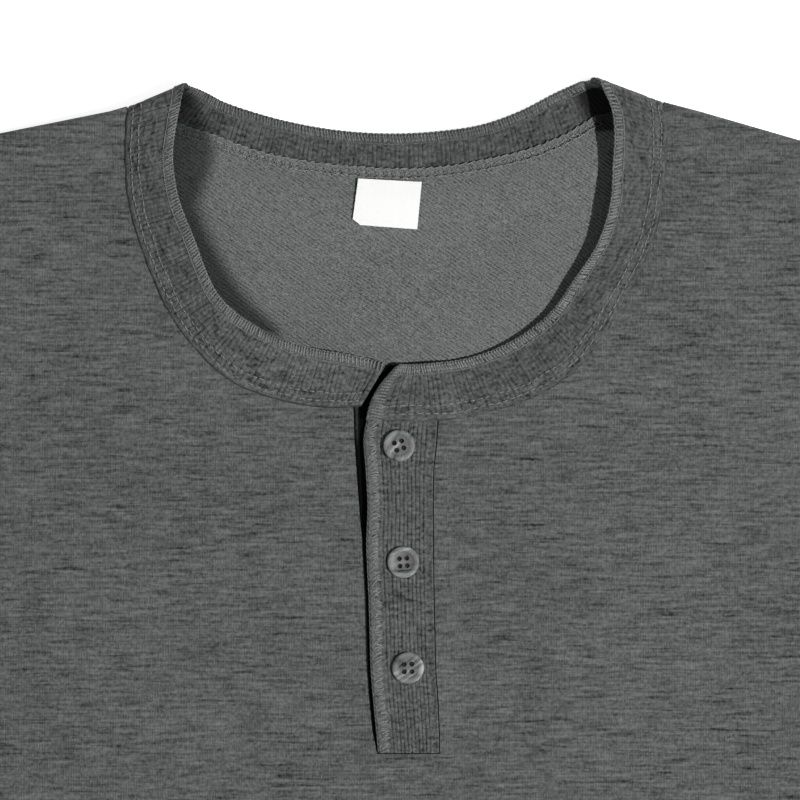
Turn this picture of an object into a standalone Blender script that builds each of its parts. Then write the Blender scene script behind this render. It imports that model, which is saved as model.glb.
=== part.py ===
"""Henley shirt, short sleeved, size XL, laid flat on its back.

Left and right are as seen from above: +X runs to the right sleeve, +Y to the head, +Z up off the
surface that the shirt lies on.
The origin is at the middle of the shirt's box, on that surface. Sizes are in millimetres up to
add_solid, which turns them into metres.
"""
import math

import bmesh
import bpy
import numpy as np
from mathutils import Vector
from mathutils.geometry import delaunay_2d_cdt

MM = 0.001

# Cloth and seams
JERSEY = 1.2            # wall of the body and sleeves
BAND = 1.8              # the neckband: rib knit, doubled
RIB_HEIGHT = 0.35       # a rib's crest over the wall that carries it
RIB_PITCH = 1.85        # crest to crest
GAP = 0.3               # between two pieces at a seam
SEAM_EASE = 0.1         # added to it beside a seam that bends
EASE = 0.3              # added to it where one piece lies over another's bend
ALLOWANCE = 7.0         # what the neckband covers of the body's cut neck edge
FOLD_RADIUS = 2.4       # outside, where the front rolls over to the back at a side or shoulder
FOLD_ANGLES = (0, 45, 90)
ROLL_WIDTH = 28.0       # over which the front settles from that roll onto the back
LAYER = 1.5             # underside of the front where it lies flat on the back
SAME_POINT = 0.2        # outline points closer than this are one

# Body, measured flat
CHEST_HALF = 285.0
WAIST_HALF = 279.0
HEM_HALF = 283.0
HEM_Y = -375.9
HEM_SAG = 5.0           # the hem's middle hangs lower than its ends
UNDERARM_Y = 105.0
WAIST_Y = -90.0
SHOULDER_TIP = {-1: (-245.0, 330.5), 1: (245.0, 326.0)}
SHOULDER_LINE = {       # x, y of the shoulder fold, from the tip to the neckband
    -1: ((-200.0, 343.0), (-157.6, 352.4), (-113.6, 361.1), (-107.8, 362.5)),
    1: ((200.0, 339.0), (162.4, 349.6), (122.4, 361.1), (109.0, 364.5)),
}
ARMHOLE_PULL = (232.0, 215.0)     # x, y that draws the armhole curve in
SIDE_STEPS = 9
ARMHOLE_STEPS = 12
HEM_STEPS = 12
COARSE = 46.0                     # spacing of a panel's points where it is plain
AT_NECK = 9.0                     # near the neck
AT_STEP = 6.0                     # and where the front climbs to the placket
NECK_REACH = 14.0                 # how far the front's finer points run from its neck edge
ZONE_OVER = 4.0                   # and the back's past the end of its ride over the neckband
OFF_EDGE = 0.45                   # least distance of such points from the outline, in spacings
OFF_EDGE_MOST = 6.0
APART = 0.75                      # and from each other
FIRST_NECK, NECK_STRIDE = 9, 7    # band stations that give the front its neck edge
FIRST_BACK, BACK_STRIDE = 4, 6    # and the back

# Sleeves
CUFF_TOP = (455.0, 222.0)
CUFF_BOTTOM = (370.0, 62.0)
SLEEVE_STATIONS = (0.0, 0.12, 0.35, 0.65, 0.9, 1.0)
SLEEVE_ROLLED = 13.0              # from a fold, where the top is partly down
SLEEVE_DOWN = ROLL_WIDTH + 2.0    # and where it lies flat
SLEEVE_ARCS = (-90, -45, 0, 45, 90)

# The neckband, from its left end at the placket, over the back, to its right end.
# edge_x, edge_y: the free top edge; seam_x, seam_y: the sewn lower edge;
# rise: how far the free edge stands above the seam; turn: 0 on the front, 180 on the back.
NECKBAND = (
    (-3.2, 260.4, -13.6, 243.2, 0.2, 0),
    (-16.8, 263.3, -22.4, 242.3, 0.4, 0),
    (-33.6, 266.4, -41.6, 244.4, 1.0, 0),
    (-52.8, 273.8, -66.4, 253.6, 3.0, 0),
    (-68.8, 285.8, -85.6, 273.2, 4.5, 0),
    (-80.0, 310.4, -100.0, 302.4, 4.8, 0),
    (-87.0, 330.4, -106.8, 326.4, 4.5, 0),
    (-88.3, 344.8, -107.8, 340.0, 4.2, 0),
    (-86.6, 356.8, -107.6, 350.4, 3.0, 0),
    (-85.0, 365.2, -106.8, 358.8, 1.5, 0),
    (-84.2, 369.8, -106.4, 361.0, 1.5, 50),
    (-83.4, 371.4, -105.6, 362.1, 1.5, 90),
    (-82.0, 371.2, -104.0, 361.0, 1.5, 130),
    (-79.2, 370.2, -98.8, 357.2, 0.0, 180),
    (-74.4, 368.0, -88.8, 350.0, 0.0, 180),
    (-68.8, 365.0, -76.4, 345.6, 0.0, 180),
    (-55.6, 360.4, -61.6, 340.0, 0.0, 180),
    (-37.6, 355.8, -41.6, 335.0, 0.0, 180),
    (-17.6, 352.8, -19.2, 332.2, 0.0, 180),
    (2.4, 352.0, 2.4, 331.0, 0.0, 180),
    (18.4, 353.0, 19.2, 331.8, 0.0, 180),
    (34.4, 355.4, 36.8, 334.6, 0.0, 180),
    (50.4, 361.0, 56.0, 339.2, 0.0, 180),
    (64.8, 368.4, 73.2, 346.4, 0.0, 180),
    (72.0, 371.6, 84.0, 352.8, 0.0, 180),
    (75.6, 373.0, 97.2, 358.4, 0.0, 180),
    (78.2, 373.2, 104.4, 362.6, 1.5, 130),
    (79.8, 373.6, 106.6, 363.9, 1.5, 90),
    (81.6, 372.8, 107.4, 363.0, 1.5, 50),
    (83.8, 369.0, 108.4, 360.0, 1.5, 0),
    (86.8, 361.6, 109.2, 354.8, 3.0, 0),
    (87.9, 352.4, 109.4, 347.6, 4.2, 0),
    (87.4, 339.6, 109.3, 338.8, 4.6, 0),
    (86.4, 324.4, 107.8, 324.8, 4.5, 0),
    (82.0, 309.6, 104.0, 309.2, 2.6, 0),
    (72.0, 293.6, 93.6, 287.2, 0.9, 0),
    (59.6, 277.6, 74.8, 259.4, -0.4, 0),
    (45.6, 268.2, 58.4, 247.8, -0.8, 0),
    (29.6, 262.2, 38.4, 240.8, -0.8, 0),
    (16.8, 260.3, 20.8, 237.5, -0.6, 0),
    (8.0, 259.6, 5.6, 237.2, -0.3, 0),
    (1.6, 259.6, -11.0, 237.2, 0.0, 0),
)
KNOT_STEP = 0.5         # added between rows, so that those of the turns stay apart
TURN_SLACK = 0.5        # degrees
TURN_MIDDLE = (60, 120)           # where the band stands on its edge
RIB_SIDES = (115, 50)             # the turn at which its ribs change sides, and over how much
CORNER_CLEAR = 0.3                # more room for the body inside the band's turn
NECK_LIFT = BAND + RIB_HEIGHT + GAP + 0.2   # the back panel rides this high over the band
LIFT_FULL = ALLOWANCE + 3.0                 # from the cut neck edge, where the ride begins to fall
LIFT_END = 31.0                             # and where the panel is down on the surface

# The placket: y, left edge x, right edge x, curl of the left edge off the strip below
PLACKET = (
    (244.0, -8.8, 17.2, 0.0),
    (237.2, -11.2, 17.4, 0.0),
    (229.6, -12.4, 17.0, 0.4),
    (217.6, -11.6, 15.8, 0.9),
    (203.6, -10.8, 15.8, 1.1),
    (187.6, -11.3, 16.0, 0.9),
    (164.0, -10.1, 16.4, 0.8),
    (137.6, -9.4, 16.9, 0.9),
    (125.6, -8.4, 17.4, 0.8),
    (113.6, -7.2, 17.9, 0.5),
    (104.4, -6.4, 18.1, 0.1),
)
PLACKET_WALL = 1.4
PLACKET_Z = LAYER + JERSEY + GAP       # it lies on the strip below
PLACKET_BINDING = 5.0                  # smooth overlocked edge along its left side
PLACKET_RIBS = 12
CURL_WIDTH = 7.0
STEP_UP = PLACKET_Z - LAYER            # the front climbs this much to the placket's seam
STEP_WIDTH = 12.0
BAND_OVER = (2.5, 1.5, 262.0)          # the band lies on it from left to right and up to this y
# The slot in the front for the placket: y, x of its left side
SLOT_LEFT = (
    (247.2, -16.4),
    (229.6, -15.6),
    (213.6, -14.4),
    (197.6, -13.2),
    (189.6, -12.5),
    (165.6, -11.3),
    (137.6, -10.6),
    (125.6, -9.9),
    (113.6, -8.8),
    (104.1, -6.8),
)
UNDER_WALL = JERSEY
UNDER_SHORT = 2.4                      # the under strip stops this far inside the upper one
UNDER_SIDE = 0.15                      # more room beside the slot
UNDER_ROWS = (243.0, 229.6, 205.0, 180.0, 155.0, 130.0, 113.6)     # its y, from the top down
UNDER_END = 0.4                        # and more room above the slot's end
UNDER_RIBS = 12

# Buttons: x, y, turn about Z in degrees, lean in degrees
BUTTONS = ((2.0, 227.4, -20.0, 5.0), (3.7, 180.8, 4.0, 0.0), (5.6, 138.5, 2.0, 0.0))
BUTTON_RADIUS = 6.35
BUTTON_PROFILE = (      # radius and height, from the middle of the back round to the dish
    (3.0, 0.0), (5.4, 0.15), (6.1, 0.65), (BUTTON_RADIUS, 1.25), (6.1, 1.85), (5.4, 2.2),
    (4.6, 2.1), (3.9, 1.6), (3.0, 1.35),
)
BUTTON_SIDES = 24
HOLE_RADIUS = 0.95
HOLE_SPACING = 3.0
HOLE_SIDES = 8
HOLE_DEPTH = 8.0

# Size label: x, y of its corners, the lower left one cut off
LABEL = ((-13.4, 315.6), (9.3, 313.9), (11.1, 332.8), (-14.3, 334.2), (-16.5, 318.0))
LABEL_WALL = 0.5
LABEL_SPACING = 5.0
LABEL_REACH = 20.0

SHARP_ANGLE = 40
BUTTON_SHARP = 50
SHINY, DULL = 0.35, 0.9

COLOURS = {
    "heather": (0.105, 0.108, 0.107),
    "rib": (0.095, 0.098, 0.097),
    "button": (0.33, 0.34, 0.33),
    "label": (0.86, 0.86, 0.85),
}


def smooth(value):
    """0 below 0, 1 above 1, and an S curve between."""
    value = np.clip(value, 0.0, 1.0)
    return value * value * (3.0 - 2.0 * value)


def distance(points, line):
    """Distance from each point to an open polyline."""
    points = np.atleast_2d(points)[:, None, :]
    start, step = line[:-1], line[1:] - line[:-1]
    along = ((points - start) * step).sum(2) / np.maximum((step ** 2).sum(1), 1e-9)
    nearest = start + np.clip(along, 0.0, 1.0)[..., None] * step
    return np.sqrt(((points - nearest) ** 2).sum(2)).min(1)


def inside(points, outline):
    """Which points lie inside a closed outline."""
    x, y = points[:, 0:1], points[:, 1:2]
    x0, y0 = outline[:, 0], outline[:, 1]
    x1, y1 = np.roll(x0, -1), np.roll(y0, -1)
    spans = (y0 > y) != (y1 > y)
    rise = np.where(y1 == y0, 1e-9, y1 - y0)
    return (spans & (x < x0 + (y - y0) * (x1 - x0) / rise)).sum(1) % 2 == 1


def bezier(start, pull, end, steps):
    """Points of a curve that a single control point draws in."""
    t = np.linspace(0.0, 1.0, steps + 1)[:, None]
    start, pull, end = (np.array(point, float) for point in (start, pull, end))
    return (1 - t) ** 2 * start + 2 * t * (1 - t) * pull + t ** 2 * end


def spline(rows, spacing):
    """Rows joined by a smooth curve through all of them, read again at an even spacing.

    Columns 0 to 3 are the two edges of a strip, whose middle line sets the spacing.
    """
    rows = np.array(rows, float)
    middle = (rows[:, 0:2] + rows[:, 2:4]) / 2
    knots = np.concatenate([[0], np.cumsum(np.linalg.norm(np.diff(middle, axis=0), axis=1) + KNOT_STEP)])
    slopes = np.gradient(rows, knots, axis=0)
    dense = np.linspace(0, knots[-1], 3000)
    cell = np.clip(np.searchsorted(knots, dense) - 1, 0, len(knots) - 2)
    width = (knots[cell + 1] - knots[cell])[:, None]
    t = (dense - knots[cell])[:, None] / width
    curve = ((2 * t ** 3 - 3 * t ** 2 + 1) * rows[cell] + (t ** 3 - 2 * t ** 2 + t) * width * slopes[cell]
             + (3 * t ** 2 - 2 * t ** 3) * rows[cell + 1] + (t ** 3 - t ** 2) * width * slopes[cell + 1])
    middle = (curve[:, 0:2] + curve[:, 2:4]) / 2
    run = np.concatenate([[0], np.cumsum(np.linalg.norm(np.diff(middle, axis=0), axis=1))])
    count = int(round(run[-1] / spacing))
    even = np.linspace(0, run[-1], count + 1)
    return np.stack([np.interp(even, run, column) for column in curve.T], axis=1)


def neckband_stations():
    """Plan stations of the neckband, two to a rib, with the raw neck edge that it covers."""
    rows = spline(NECKBAND, RIB_PITCH / 2)
    edge, seam, rise, turn = rows[:, 0:2], rows[:, 2:4], rows[:, 4], np.clip(rows[:, 5], 0, 180)
    across = edge - seam
    covered = seam + ALLOWANCE * across / np.linalg.norm(across, axis=1)[:, None]
    return edge, seam, covered, rise, turn


EDGE, SEAM, COVERED, RISE, TURN = neckband_stations()
BACK_PART = np.flatnonzero(TURN >= 180 - TURN_SLACK)
LEFT_PART = np.arange(0, np.flatnonzero(TURN > TURN_SLACK)[0])
RIGHT_PART = np.arange(np.flatnonzero(TURN > TURN_SLACK)[-1] + 1, len(TURN))
PLACKET_ROWS = np.array(PLACKET)
SLOT_ROWS = np.array(SLOT_LEFT)


def neck_corner(side):
    """Where the body's shoulder fold meets its neck edge, inside the turn of the neckband."""
    low, high = TURN_MIDDLE
    turned = np.flatnonzero((TURN > low) & (TURN < high) & (np.sign(SEAM[:, 0]) == side))
    middle = turned[len(turned) // 2]
    across = EDGE[middle] - SEAM[middle]
    across = across / np.linalg.norm(across)
    inward = np.array([-across[1], across[0]]) * side
    clear = BAND + RIB_HEIGHT + GAP + CORNER_CLEAR
    return COVERED[middle] + inward * clear, SEAM[middle] + inward * clear


def shoulder(side):
    """The body's shoulder fold, from the armhole to the neck edge."""
    corner, under_seam = neck_corner(side)
    return np.array([SHOULDER_TIP[side], *SHOULDER_LINE[side], under_seam, corner])


def armhole(side):
    """The armhole seam, from the shoulder tip to the underarm."""
    pull = (side * ARMHOLE_PULL[0], ARMHOLE_PULL[1])
    return bezier(SHOULDER_TIP[side], pull, (side * CHEST_HALF, UNDERARM_Y), ARMHOLE_STEPS)


def side_fold(side):
    """The side of the body, from the underarm to the hem."""
    t = np.linspace(0.0, 1.0, SIDE_STEPS + 1)
    y = UNDERARM_Y + (HEM_Y + HEM_SAG - UNDERARM_Y) * t
    x = np.interp(y, (HEM_Y, WAIST_Y, UNDERARM_Y), (HEM_HALF, WAIST_HALF, CHEST_HALF))
    return np.stack([side * x, y], axis=1)


def hem():
    """The hem, from left to right, its middle a little lower."""
    t = np.linspace(0.0, 1.0, HEM_STEPS + 1)
    y = HEM_Y + HEM_SAG * (2 * t - 1) ** 2
    return np.stack([-HEM_HALF + 2 * HEM_HALF * t, y], axis=1)


SLOT_RIGHT = PLACKET_ROWS[:, [2, 0]] + (GAP + SEAM_EASE, 0.0)
SLOT_BOTTOM_Y = PLACKET_ROWS[-1, 0] - GAP - SEAM_EASE
STEP_LINE = np.array([*SLOT_RIGHT, (SLOT_RIGHT[-1, 0], SLOT_BOTTOM_Y), (SLOT_ROWS[-1, 1], SLOT_BOTTOM_Y)])
BACK_NECK = np.array([neck_corner(-1)[0], *COVERED[BACK_PART[FIRST_BACK:-FIRST_BACK]], neck_corner(1)[0]])
FOLDS = [np.concatenate([shoulder(side)[::-1], armhole(side)[:1]]) for side in (-1, 1)]
FOLDS += [side_fold(side) for side in (-1, 1)]


def back_under(points):
    """Height of the back panel's underside: flat, but riding over the neckband's back."""
    away = distance(points, BACK_NECK)
    return NECK_LIFT * (1 - smooth((away - LIFT_FULL) / (LIFT_END - LIFT_FULL)))


def front_under(points):
    """Height of the front panel's underside: on the back, rolled at folds, up at the placket."""
    away = np.min([distance(points, line) for line in FOLDS], axis=0)
    roll = 1 - smooth((away - FOLD_RADIUS) / ROLL_WIDTH)
    rolled = 2 * FOLD_RADIUS + GAP - JERSEY
    step = 1 - smooth(distance(points, STEP_LINE) / STEP_WIDTH)
    return back_under(points) + LAYER + (rolled - LAYER) * roll + STEP_UP * step


def material(name):
    """One plain material in the piece's colour."""
    key = next(part for part in COLOURS if name.startswith(part))
    made = bpy.data.materials.new(name)
    made.use_nodes = True
    shader = made.node_tree.nodes["Principled BSDF"]
    shader.inputs["Base Color"].default_value = (*COLOURS[key], 1.0)
    shader.inputs["Roughness"].default_value = SHINY if key == "button" else DULL
    shader.inputs["Metallic"].default_value = 0.0
    return made


def add_solid(name, points, faces, colour):
    """An object from points in millimetres, with its own material."""
    mesh = bpy.data.meshes.new(name)
    mesh.from_pydata((np.asarray(points) * MM).tolist(), [], faces)
    mesh.validate()
    mesh.shade_smooth()
    mesh.set_sharp_from_angle(angle=math.radians(SHARP_ANGLE))
    mesh.materials.append(material(f"{colour}_{name}"))
    made = bpy.data.objects.new(name, mesh)
    bpy.context.collection.objects.link(made)
    return made


def inward_normals(outline):
    """Inward unit vectors at the corners of a closed counterclockwise outline, mitred."""
    before = outline - np.roll(outline, 1, axis=0)
    after = np.roll(outline, -1, axis=0) - outline
    before /= np.linalg.norm(before, axis=1)[:, None]
    after /= np.linalg.norm(after, axis=1)[:, None]
    both = before + after
    both /= np.maximum(np.linalg.norm(both, axis=1)[:, None], 1e-6)
    mitre = 1 / np.clip((both * before).sum(1), 0.6, 1.0)
    return np.stack([-both[:, 1], both[:, 0]], axis=1) * mitre[:, None]


def fill_points(ring, zones):
    """Points inside a ring, from lattices: one in each zone, given as line, spacing and reach."""
    low, high = ring.min(0), ring.max(0)
    closed = np.vstack([ring, ring[:1]])
    kept = ring.copy()
    for line, spacing, reach in zones:
        xs = np.arange(low[0] + spacing / 2, high[0], spacing)
        ys = np.arange(low[1] + spacing / 2, high[1], spacing * 0.866)
        grid = np.array([(x + spacing / 2 * (row % 2), y) for row, y in enumerate(ys) for x in xs])
        grid = grid[inside(grid, ring)]
        grid = grid[distance(grid, line) < reach]
        grid = grid[distance(grid, closed) > min(OFF_EDGE * spacing, OFF_EDGE_MOST)]
        for point in grid:
            if ((kept - point) ** 2).sum(1).min() > (APART * spacing) ** 2:
                kept = np.vstack([kept, point])
    return kept[len(ring):]


def add_panel(name, outline, curl, under, side, zones, colour, wall=JERSEY):
    """A cloth panel over a closed outline, curled at its folds.

    curl is 1 at a folded edge and 0 at a cut one; side is +1 for a panel whose edges curl down
    (the front) and -1 for one whose edges curl up (the back); under gives the underside's height.
    """
    normals = inward_normals(outline)
    curl = np.asarray(curl, float)
    inner_radius = FOLD_RADIUS - wall
    angles = np.radians(FOLD_ANGLES if curl.any() else FOLD_ANGLES[-1:])
    ring = outline + normals * FOLD_RADIUS if curl.any() else outline
    flat = under(ring)
    outer_rings, inner_rings = [], []
    for angle in angles:
        reach = FOLD_RADIUS * (1 - math.cos(angle)) if curl.any() else 0.0
        outer = outline + normals * reach
        inner = outline + normals * (reach + curl * wall * math.cos(angle))[:, None]
        drop = curl * (1 - math.sin(angle))
        low, high = (inner, outer) if side > 0 else (outer, inner)
        low_drop = drop * (inner_radius if side > 0 else FOLD_RADIUS)
        high_drop = drop * (FOLD_RADIUS if side > 0 else inner_radius)
        low_z = (1 - curl) * under(low) + curl * flat - side * low_drop
        high_z = (1 - curl) * under(high) + curl * flat + wall - side * high_drop
        inner_rings.append(np.column_stack([low, low_z]))
        outer_rings.append(np.column_stack([high, high_z]))
    count = len(outline)
    added = fill_points(ring, zones)
    plan = np.vstack([ring, added])
    loop = [(i, (i + 1) % count) for i in range(count)]
    result = delaunay_2d_cdt([Vector(p) for p in plan], loop, [list(range(count))], 1, 1e-5)
    found, triangles = np.array([tuple(p) for p in result[0]]), result[2]
    source = [ids[0] for ids in result[3]]
    where = {old: new for new, old in enumerate(source)}
    heights = under(found)
    total = len(found)
    low_points = np.column_stack([found, heights])
    high_points = np.column_stack([found, heights + wall])
    for old, new in where.items():
        if old < count:
            low_points[new] = inner_rings[-1][old]
            high_points[new] = outer_rings[-1][old]
    points = [low_points, high_points]
    faces = [list(t)[::-1] for t in triangles] + [[v + total for v in t] for t in triangles]
    low_ids = [[where[i] for i in range(count)]]
    high_ids = [[where[i] + total for i in range(count)]]
    used = 2 * total
    for level in range(len(angles) - 2, -1, -1):
        points += [inner_rings[level], outer_rings[level]]
        low_ids.append([used + i for i in range(count)])
        high_ids.append([used + count + i for i in range(count)])
        used += 2 * count
    for level in range(len(low_ids) - 1):
        for i, j in loop:
            near, far = low_ids[level], low_ids[level + 1]
            faces.append([near[i], near[j], far[j], far[i]])
            near, far = high_ids[level], high_ids[level + 1]
            faces.append([far[i], far[j], near[j], near[i]])
    for i, j in loop:
        faces.append([low_ids[-1][i], low_ids[-1][j], high_ids[-1][j], high_ids[-1][i]])
    add_solid(name, np.vstack(points), faces, colour)


def join_runs(*runs):
    """Runs of outline points with their curl, one after the other, without repeated points."""
    points, curls = [], []
    for line, curl in runs:
        for point in line:
            if points and np.linalg.norm(np.array(points[-1]) - point) < SAME_POINT:
                curls[-1] = max(curls[-1], curl)
                continue
            points.append(tuple(point))
            curls.append(curl)
    if np.linalg.norm(np.array(points[0]) - points[-1]) < SAME_POINT:
        curls[0] = max(curls[0], curls[-1])
        points.pop()
        curls.pop()
    return np.array(points), np.array(curls)


def add_body():
    """Front and back, which meet at the sides and shoulders."""
    around = ((side_fold(-1)[::-1], 1), (armhole(-1)[::-1], 0), (shoulder(-1), 1))
    back_neck = COVERED[BACK_PART[FIRST_BACK:-FIRST_BACK:BACK_STRIDE]]
    zones = [(BACK_NECK, AT_NECK, LIFT_END + ZONE_OVER), (hem(), COARSE, 2 * HEM_HALF - HEM_Y)]
    back, back_curl = join_runs((hem()[::-1], 0), *around, (back_neck, 0), (shoulder(1)[::-1], 1),
                                (armhole(1), 0), (side_fold(1), 1))
    add_panel("back", back[::-1], back_curl[::-1], back_under, -1, zones, "heather")
    left = COVERED[LEFT_PART[::-1]]
    left = left[left[:, 0] < SLOT_ROWS[0, 1] - 1.0][FIRST_NECK::NECK_STRIDE]
    right = COVERED[RIGHT_PART]
    right = right[right[:, 0] > SLOT_RIGHT[0, 0] + 1.0][FIRST_NECK::NECK_STRIDE][::-1]
    corner_left = (SLOT_ROWS[0, 1], left[-1, 1])
    corner_right = (SLOT_RIGHT[0, 0], right[0, 1] - EASE)
    slot_left = [corner_left] + [(x, y) for y, x in SLOT_ROWS[1:-1]] + [(SLOT_ROWS[-1, 1], SLOT_BOTTOM_Y)]
    slot_right = [(SLOT_RIGHT[-1, 0], SLOT_BOTTOM_Y)] + [tuple(p) for p in SLOT_RIGHT[-2:0:-1]]
    slot_right.append(corner_right)
    front, front_curl = join_runs((hem()[::-1], 0), *around, (left, 0), (slot_left, 0), (slot_right, 0),
                                  (right, 0), (shoulder(1)[::-1], 1), (armhole(1), 0), (side_fold(1), 1))
    near = [(STEP_LINE, AT_STEP, STEP_WIDTH + 1.0), (BACK_NECK, AT_NECK, LIFT_END + ZONE_OVER)]
    near += [(COVERED[part], AT_NECK, NECK_REACH) for part in (LEFT_PART, RIGHT_PART)]
    add_panel("front", front[::-1], front_curl[::-1], front_under, 1, near + zones[1:], "heather")


def below_neckband(points):
    """Height of what the front of the neckband lies on."""
    top = front_under(points) + JERSEY
    left = np.interp(points[:, 1], PLACKET_ROWS[::-1, 0], PLACKET_ROWS[::-1, 1])
    right = np.interp(points[:, 1], PLACKET_ROWS[::-1, 0], PLACKET_ROWS[::-1, 2])
    before, past, top_y = BAND_OVER
    over = (points[:, 0] > left - before) & (points[:, 0] < right + past) & (points[:, 1] < top_y)
    placket = PLACKET_Z + PLACKET_WALL + RIB_HEIGHT
    return np.where(over, np.maximum(top, placket), top)


def neckband_heights():
    """Middle heights of the band at its seam, at the covered neck edge and at its free edge."""
    low = BAND / 2
    seam = below_neckband(SEAM) + GAP + EASE + BAND / 2
    covered = below_neckband(COVERED) + GAP + EASE + BAND / 2
    level = np.maximum(seam, covered)
    for part, end in ((np.arange(LEFT_PART[-1], BACK_PART[0]), LEFT_PART[-1]),
                      (np.arange(BACK_PART[-1], RIGHT_PART[0] + 1), RIGHT_PART[0])):
        level[part] = level[end]
        seam[part] = level[end]
        covered[part] = level[end]
    share = (1 + np.cos(np.radians(TURN))) / 2
    free = level + RISE
    return tuple(low + (height - low) * share for height in (seam, covered, free))


def add_neckband():
    """The neckband, ribbed on the side that faces up and plain on the other."""
    seam_z, covered_z, free_z = neckband_heights()
    lines = [np.column_stack([SEAM, seam_z]), np.column_stack([COVERED, covered_z]),
             np.column_stack([EDGE, free_z])]
    width = lines[2] - lines[0]
    width /= np.linalg.norm(width, axis=1)[:, None]
    run = np.gradient((lines[1] + lines[2]) / 2, axis=0)
    normal = np.cross(width, run)
    normal /= np.linalg.norm(normal, axis=1)[:, None]
    if normal[0, 2] < 0:
        normal = -normal
    crest = (np.arange(len(SEAM)) % 2) * RIB_HEIGHT
    swap, span = RIB_SIDES
    outer = crest * smooth((swap - TURN) / span)
    inner = crest * smooth((TURN - swap) / span)
    points = [line + normal * (BAND / 2 + outer)[:, None] for line in lines]
    points += [line - normal * (BAND / 2 + inner)[:, None] for line in lines[::-2]]
    add_loft("neckband", points, "rib")


def add_loft(name, lines, colour):
    """A closed solid from lines of equal length that run side by side round its section."""
    count, length = len(lines), len(lines[0])
    faces = []
    for k in range(count):
        a, b = k * length, (k + 1) % count * length
        faces += [[a + i, a + i + 1, b + i + 1, b + i] for i in range(length - 1)]
    first = [k * length for k in range(count)]
    faces.append(first)
    faces.append([i + length - 1 for i in first[::-1]])
    made = add_solid(name, np.vstack(lines), faces, colour)
    face_outward(made.data)


def face_outward(mesh):
    """Turn all faces outward."""
    work = bmesh.new()
    work.from_mesh(mesh)
    bmesh.ops.recalc_face_normals(work, faces=work.faces)
    work.to_mesh(mesh)
    work.free()


def rib_profile(ribs):
    """Share of the ribbed width and height of each point across a strip: valley, crest, valley."""
    share = np.linspace(0.0, 1.0, 2 * ribs + 1)
    return share, (np.arange(2 * ribs + 1) % 2) * RIB_HEIGHT


def add_placket():
    """The upper strip: a smooth bound edge on its left and ribs that run down it."""
    y, left, right, lift = PLACKET_ROWS.T
    share, crest = rib_profile(PLACKET_RIBS)
    ribbed = left + PLACKET_BINDING
    across = [left, left + PLACKET_BINDING / 2] + [ribbed + (right - ribbed) * s for s in share]
    raised = [RIB_HEIGHT, RIB_HEIGHT] + list(crest)
    top, bottom = [], []
    for x, height in zip(across, raised):
        curl = lift * (1 - smooth((x - left) / CURL_WIDTH))
        bottom.append(np.column_stack([x, y, PLACKET_Z + curl]))
        top.append(np.column_stack([x, y, PLACKET_Z + curl + PLACKET_WALL + height]))
    add_loft("placket", top + bottom[::-1], "rib")


def add_placket_under():
    """The under strip, sewn along the slot's left side."""
    y = np.array((*UNDER_ROWS, SLOT_BOTTOM_Y + GAP + UNDER_END))
    left = np.interp(y, SLOT_ROWS[::-1, 0], SLOT_ROWS[::-1, 1]) + GAP + UNDER_SIDE
    right = np.interp(y, PLACKET_ROWS[::-1, 0], PLACKET_ROWS[::-1, 2]) - UNDER_SHORT
    share, crest = rib_profile(UNDER_RIBS)
    top, bottom = [], []
    for s, height in zip(share, crest):
        x = left + (right - left) * s
        flat = np.full_like(y, LAYER)
        bottom.append(np.column_stack([x, y, flat]))
        top.append(np.column_stack([x, y, flat + UNDER_WALL - RIB_HEIGHT + height]))
    add_loft("placket_under", top + bottom[::-1], "rib")


def add_sleeve(name, side):
    """A short sleeve: a flattened tube from the armhole to the cuff."""
    radius = FOLD_RADIUS + GAP / 2
    seam = armhole(side)
    run = np.concatenate([[0], np.cumsum(np.linalg.norm(np.diff(seam, axis=0), axis=1))])
    outward = np.array([np.gradient(seam[:, 1]), -np.gradient(seam[:, 0])]).T
    outward *= np.sign(outward[:, :1] * side) / np.linalg.norm(outward, axis=1)[:, None]
    seam = seam + outward * (GAP + SEAM_EASE)
    cuff = np.array([CUFF_TOP, CUFF_BOTTOM]) * (side, 1)

    def section(station, wall):
        """One closed ring: over the top from shoulder fold to underarm fold, and back below."""
        length = (1 - station) * run[-1] + station * np.linalg.norm(cuff[1] - cuff[0])
        arcs = np.radians(SLEEVE_ARCS)
        near = [(radius - (radius - wall) * math.cos(a), radius + (radius - wall) * math.sin(a)) for a in arcs]
        spread = [SLEEVE_ROLLED, SLEEVE_DOWN, length / 2, length - SLEEVE_DOWN, length - SLEEVE_ROLLED]
        spots = list(near)
        for d in spread:
            roll = 1 - smooth((min(d, length - d) - FOLD_RADIUS) / ROLL_WIDTH)
            top = LAYER + JERSEY + (2 * radius - LAYER - JERSEY) * roll
            spots.append((d, top - wall))
        spots += [(length - d, z) for d, z in near[::-1]]
        spots += [(d, wall) for d in spread[::-1]]
        ring = []
        for d, z in spots:
            u = d / length
            start = np.array([np.interp(u * run[-1], run, seam[:, k]) for k in (0, 1)])
            end = cuff[0] + (cuff[1] - cuff[0]) * u
            ring.append((*(start * (1 - station) + end * station), z))
        return ring

    outer = [section(s, 0.0) for s in SLEEVE_STATIONS]
    inner = [section(s, JERSEY) for s in SLEEVE_STATIONS]
    lines = [np.array(ring) for ring in outer + inner[::-1]]
    count, length = len(lines), len(lines[0])
    faces = []
    for k in range(count):
        a, b = k * length, (k + 1) % count * length
        faces += [[a + i, a + (i + 1) % length, b + (i + 1) % length, b + i] for i in range(length)]
    made = add_solid(name, np.vstack(lines), faces, "heather")
    face_outward(made.data)


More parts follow.
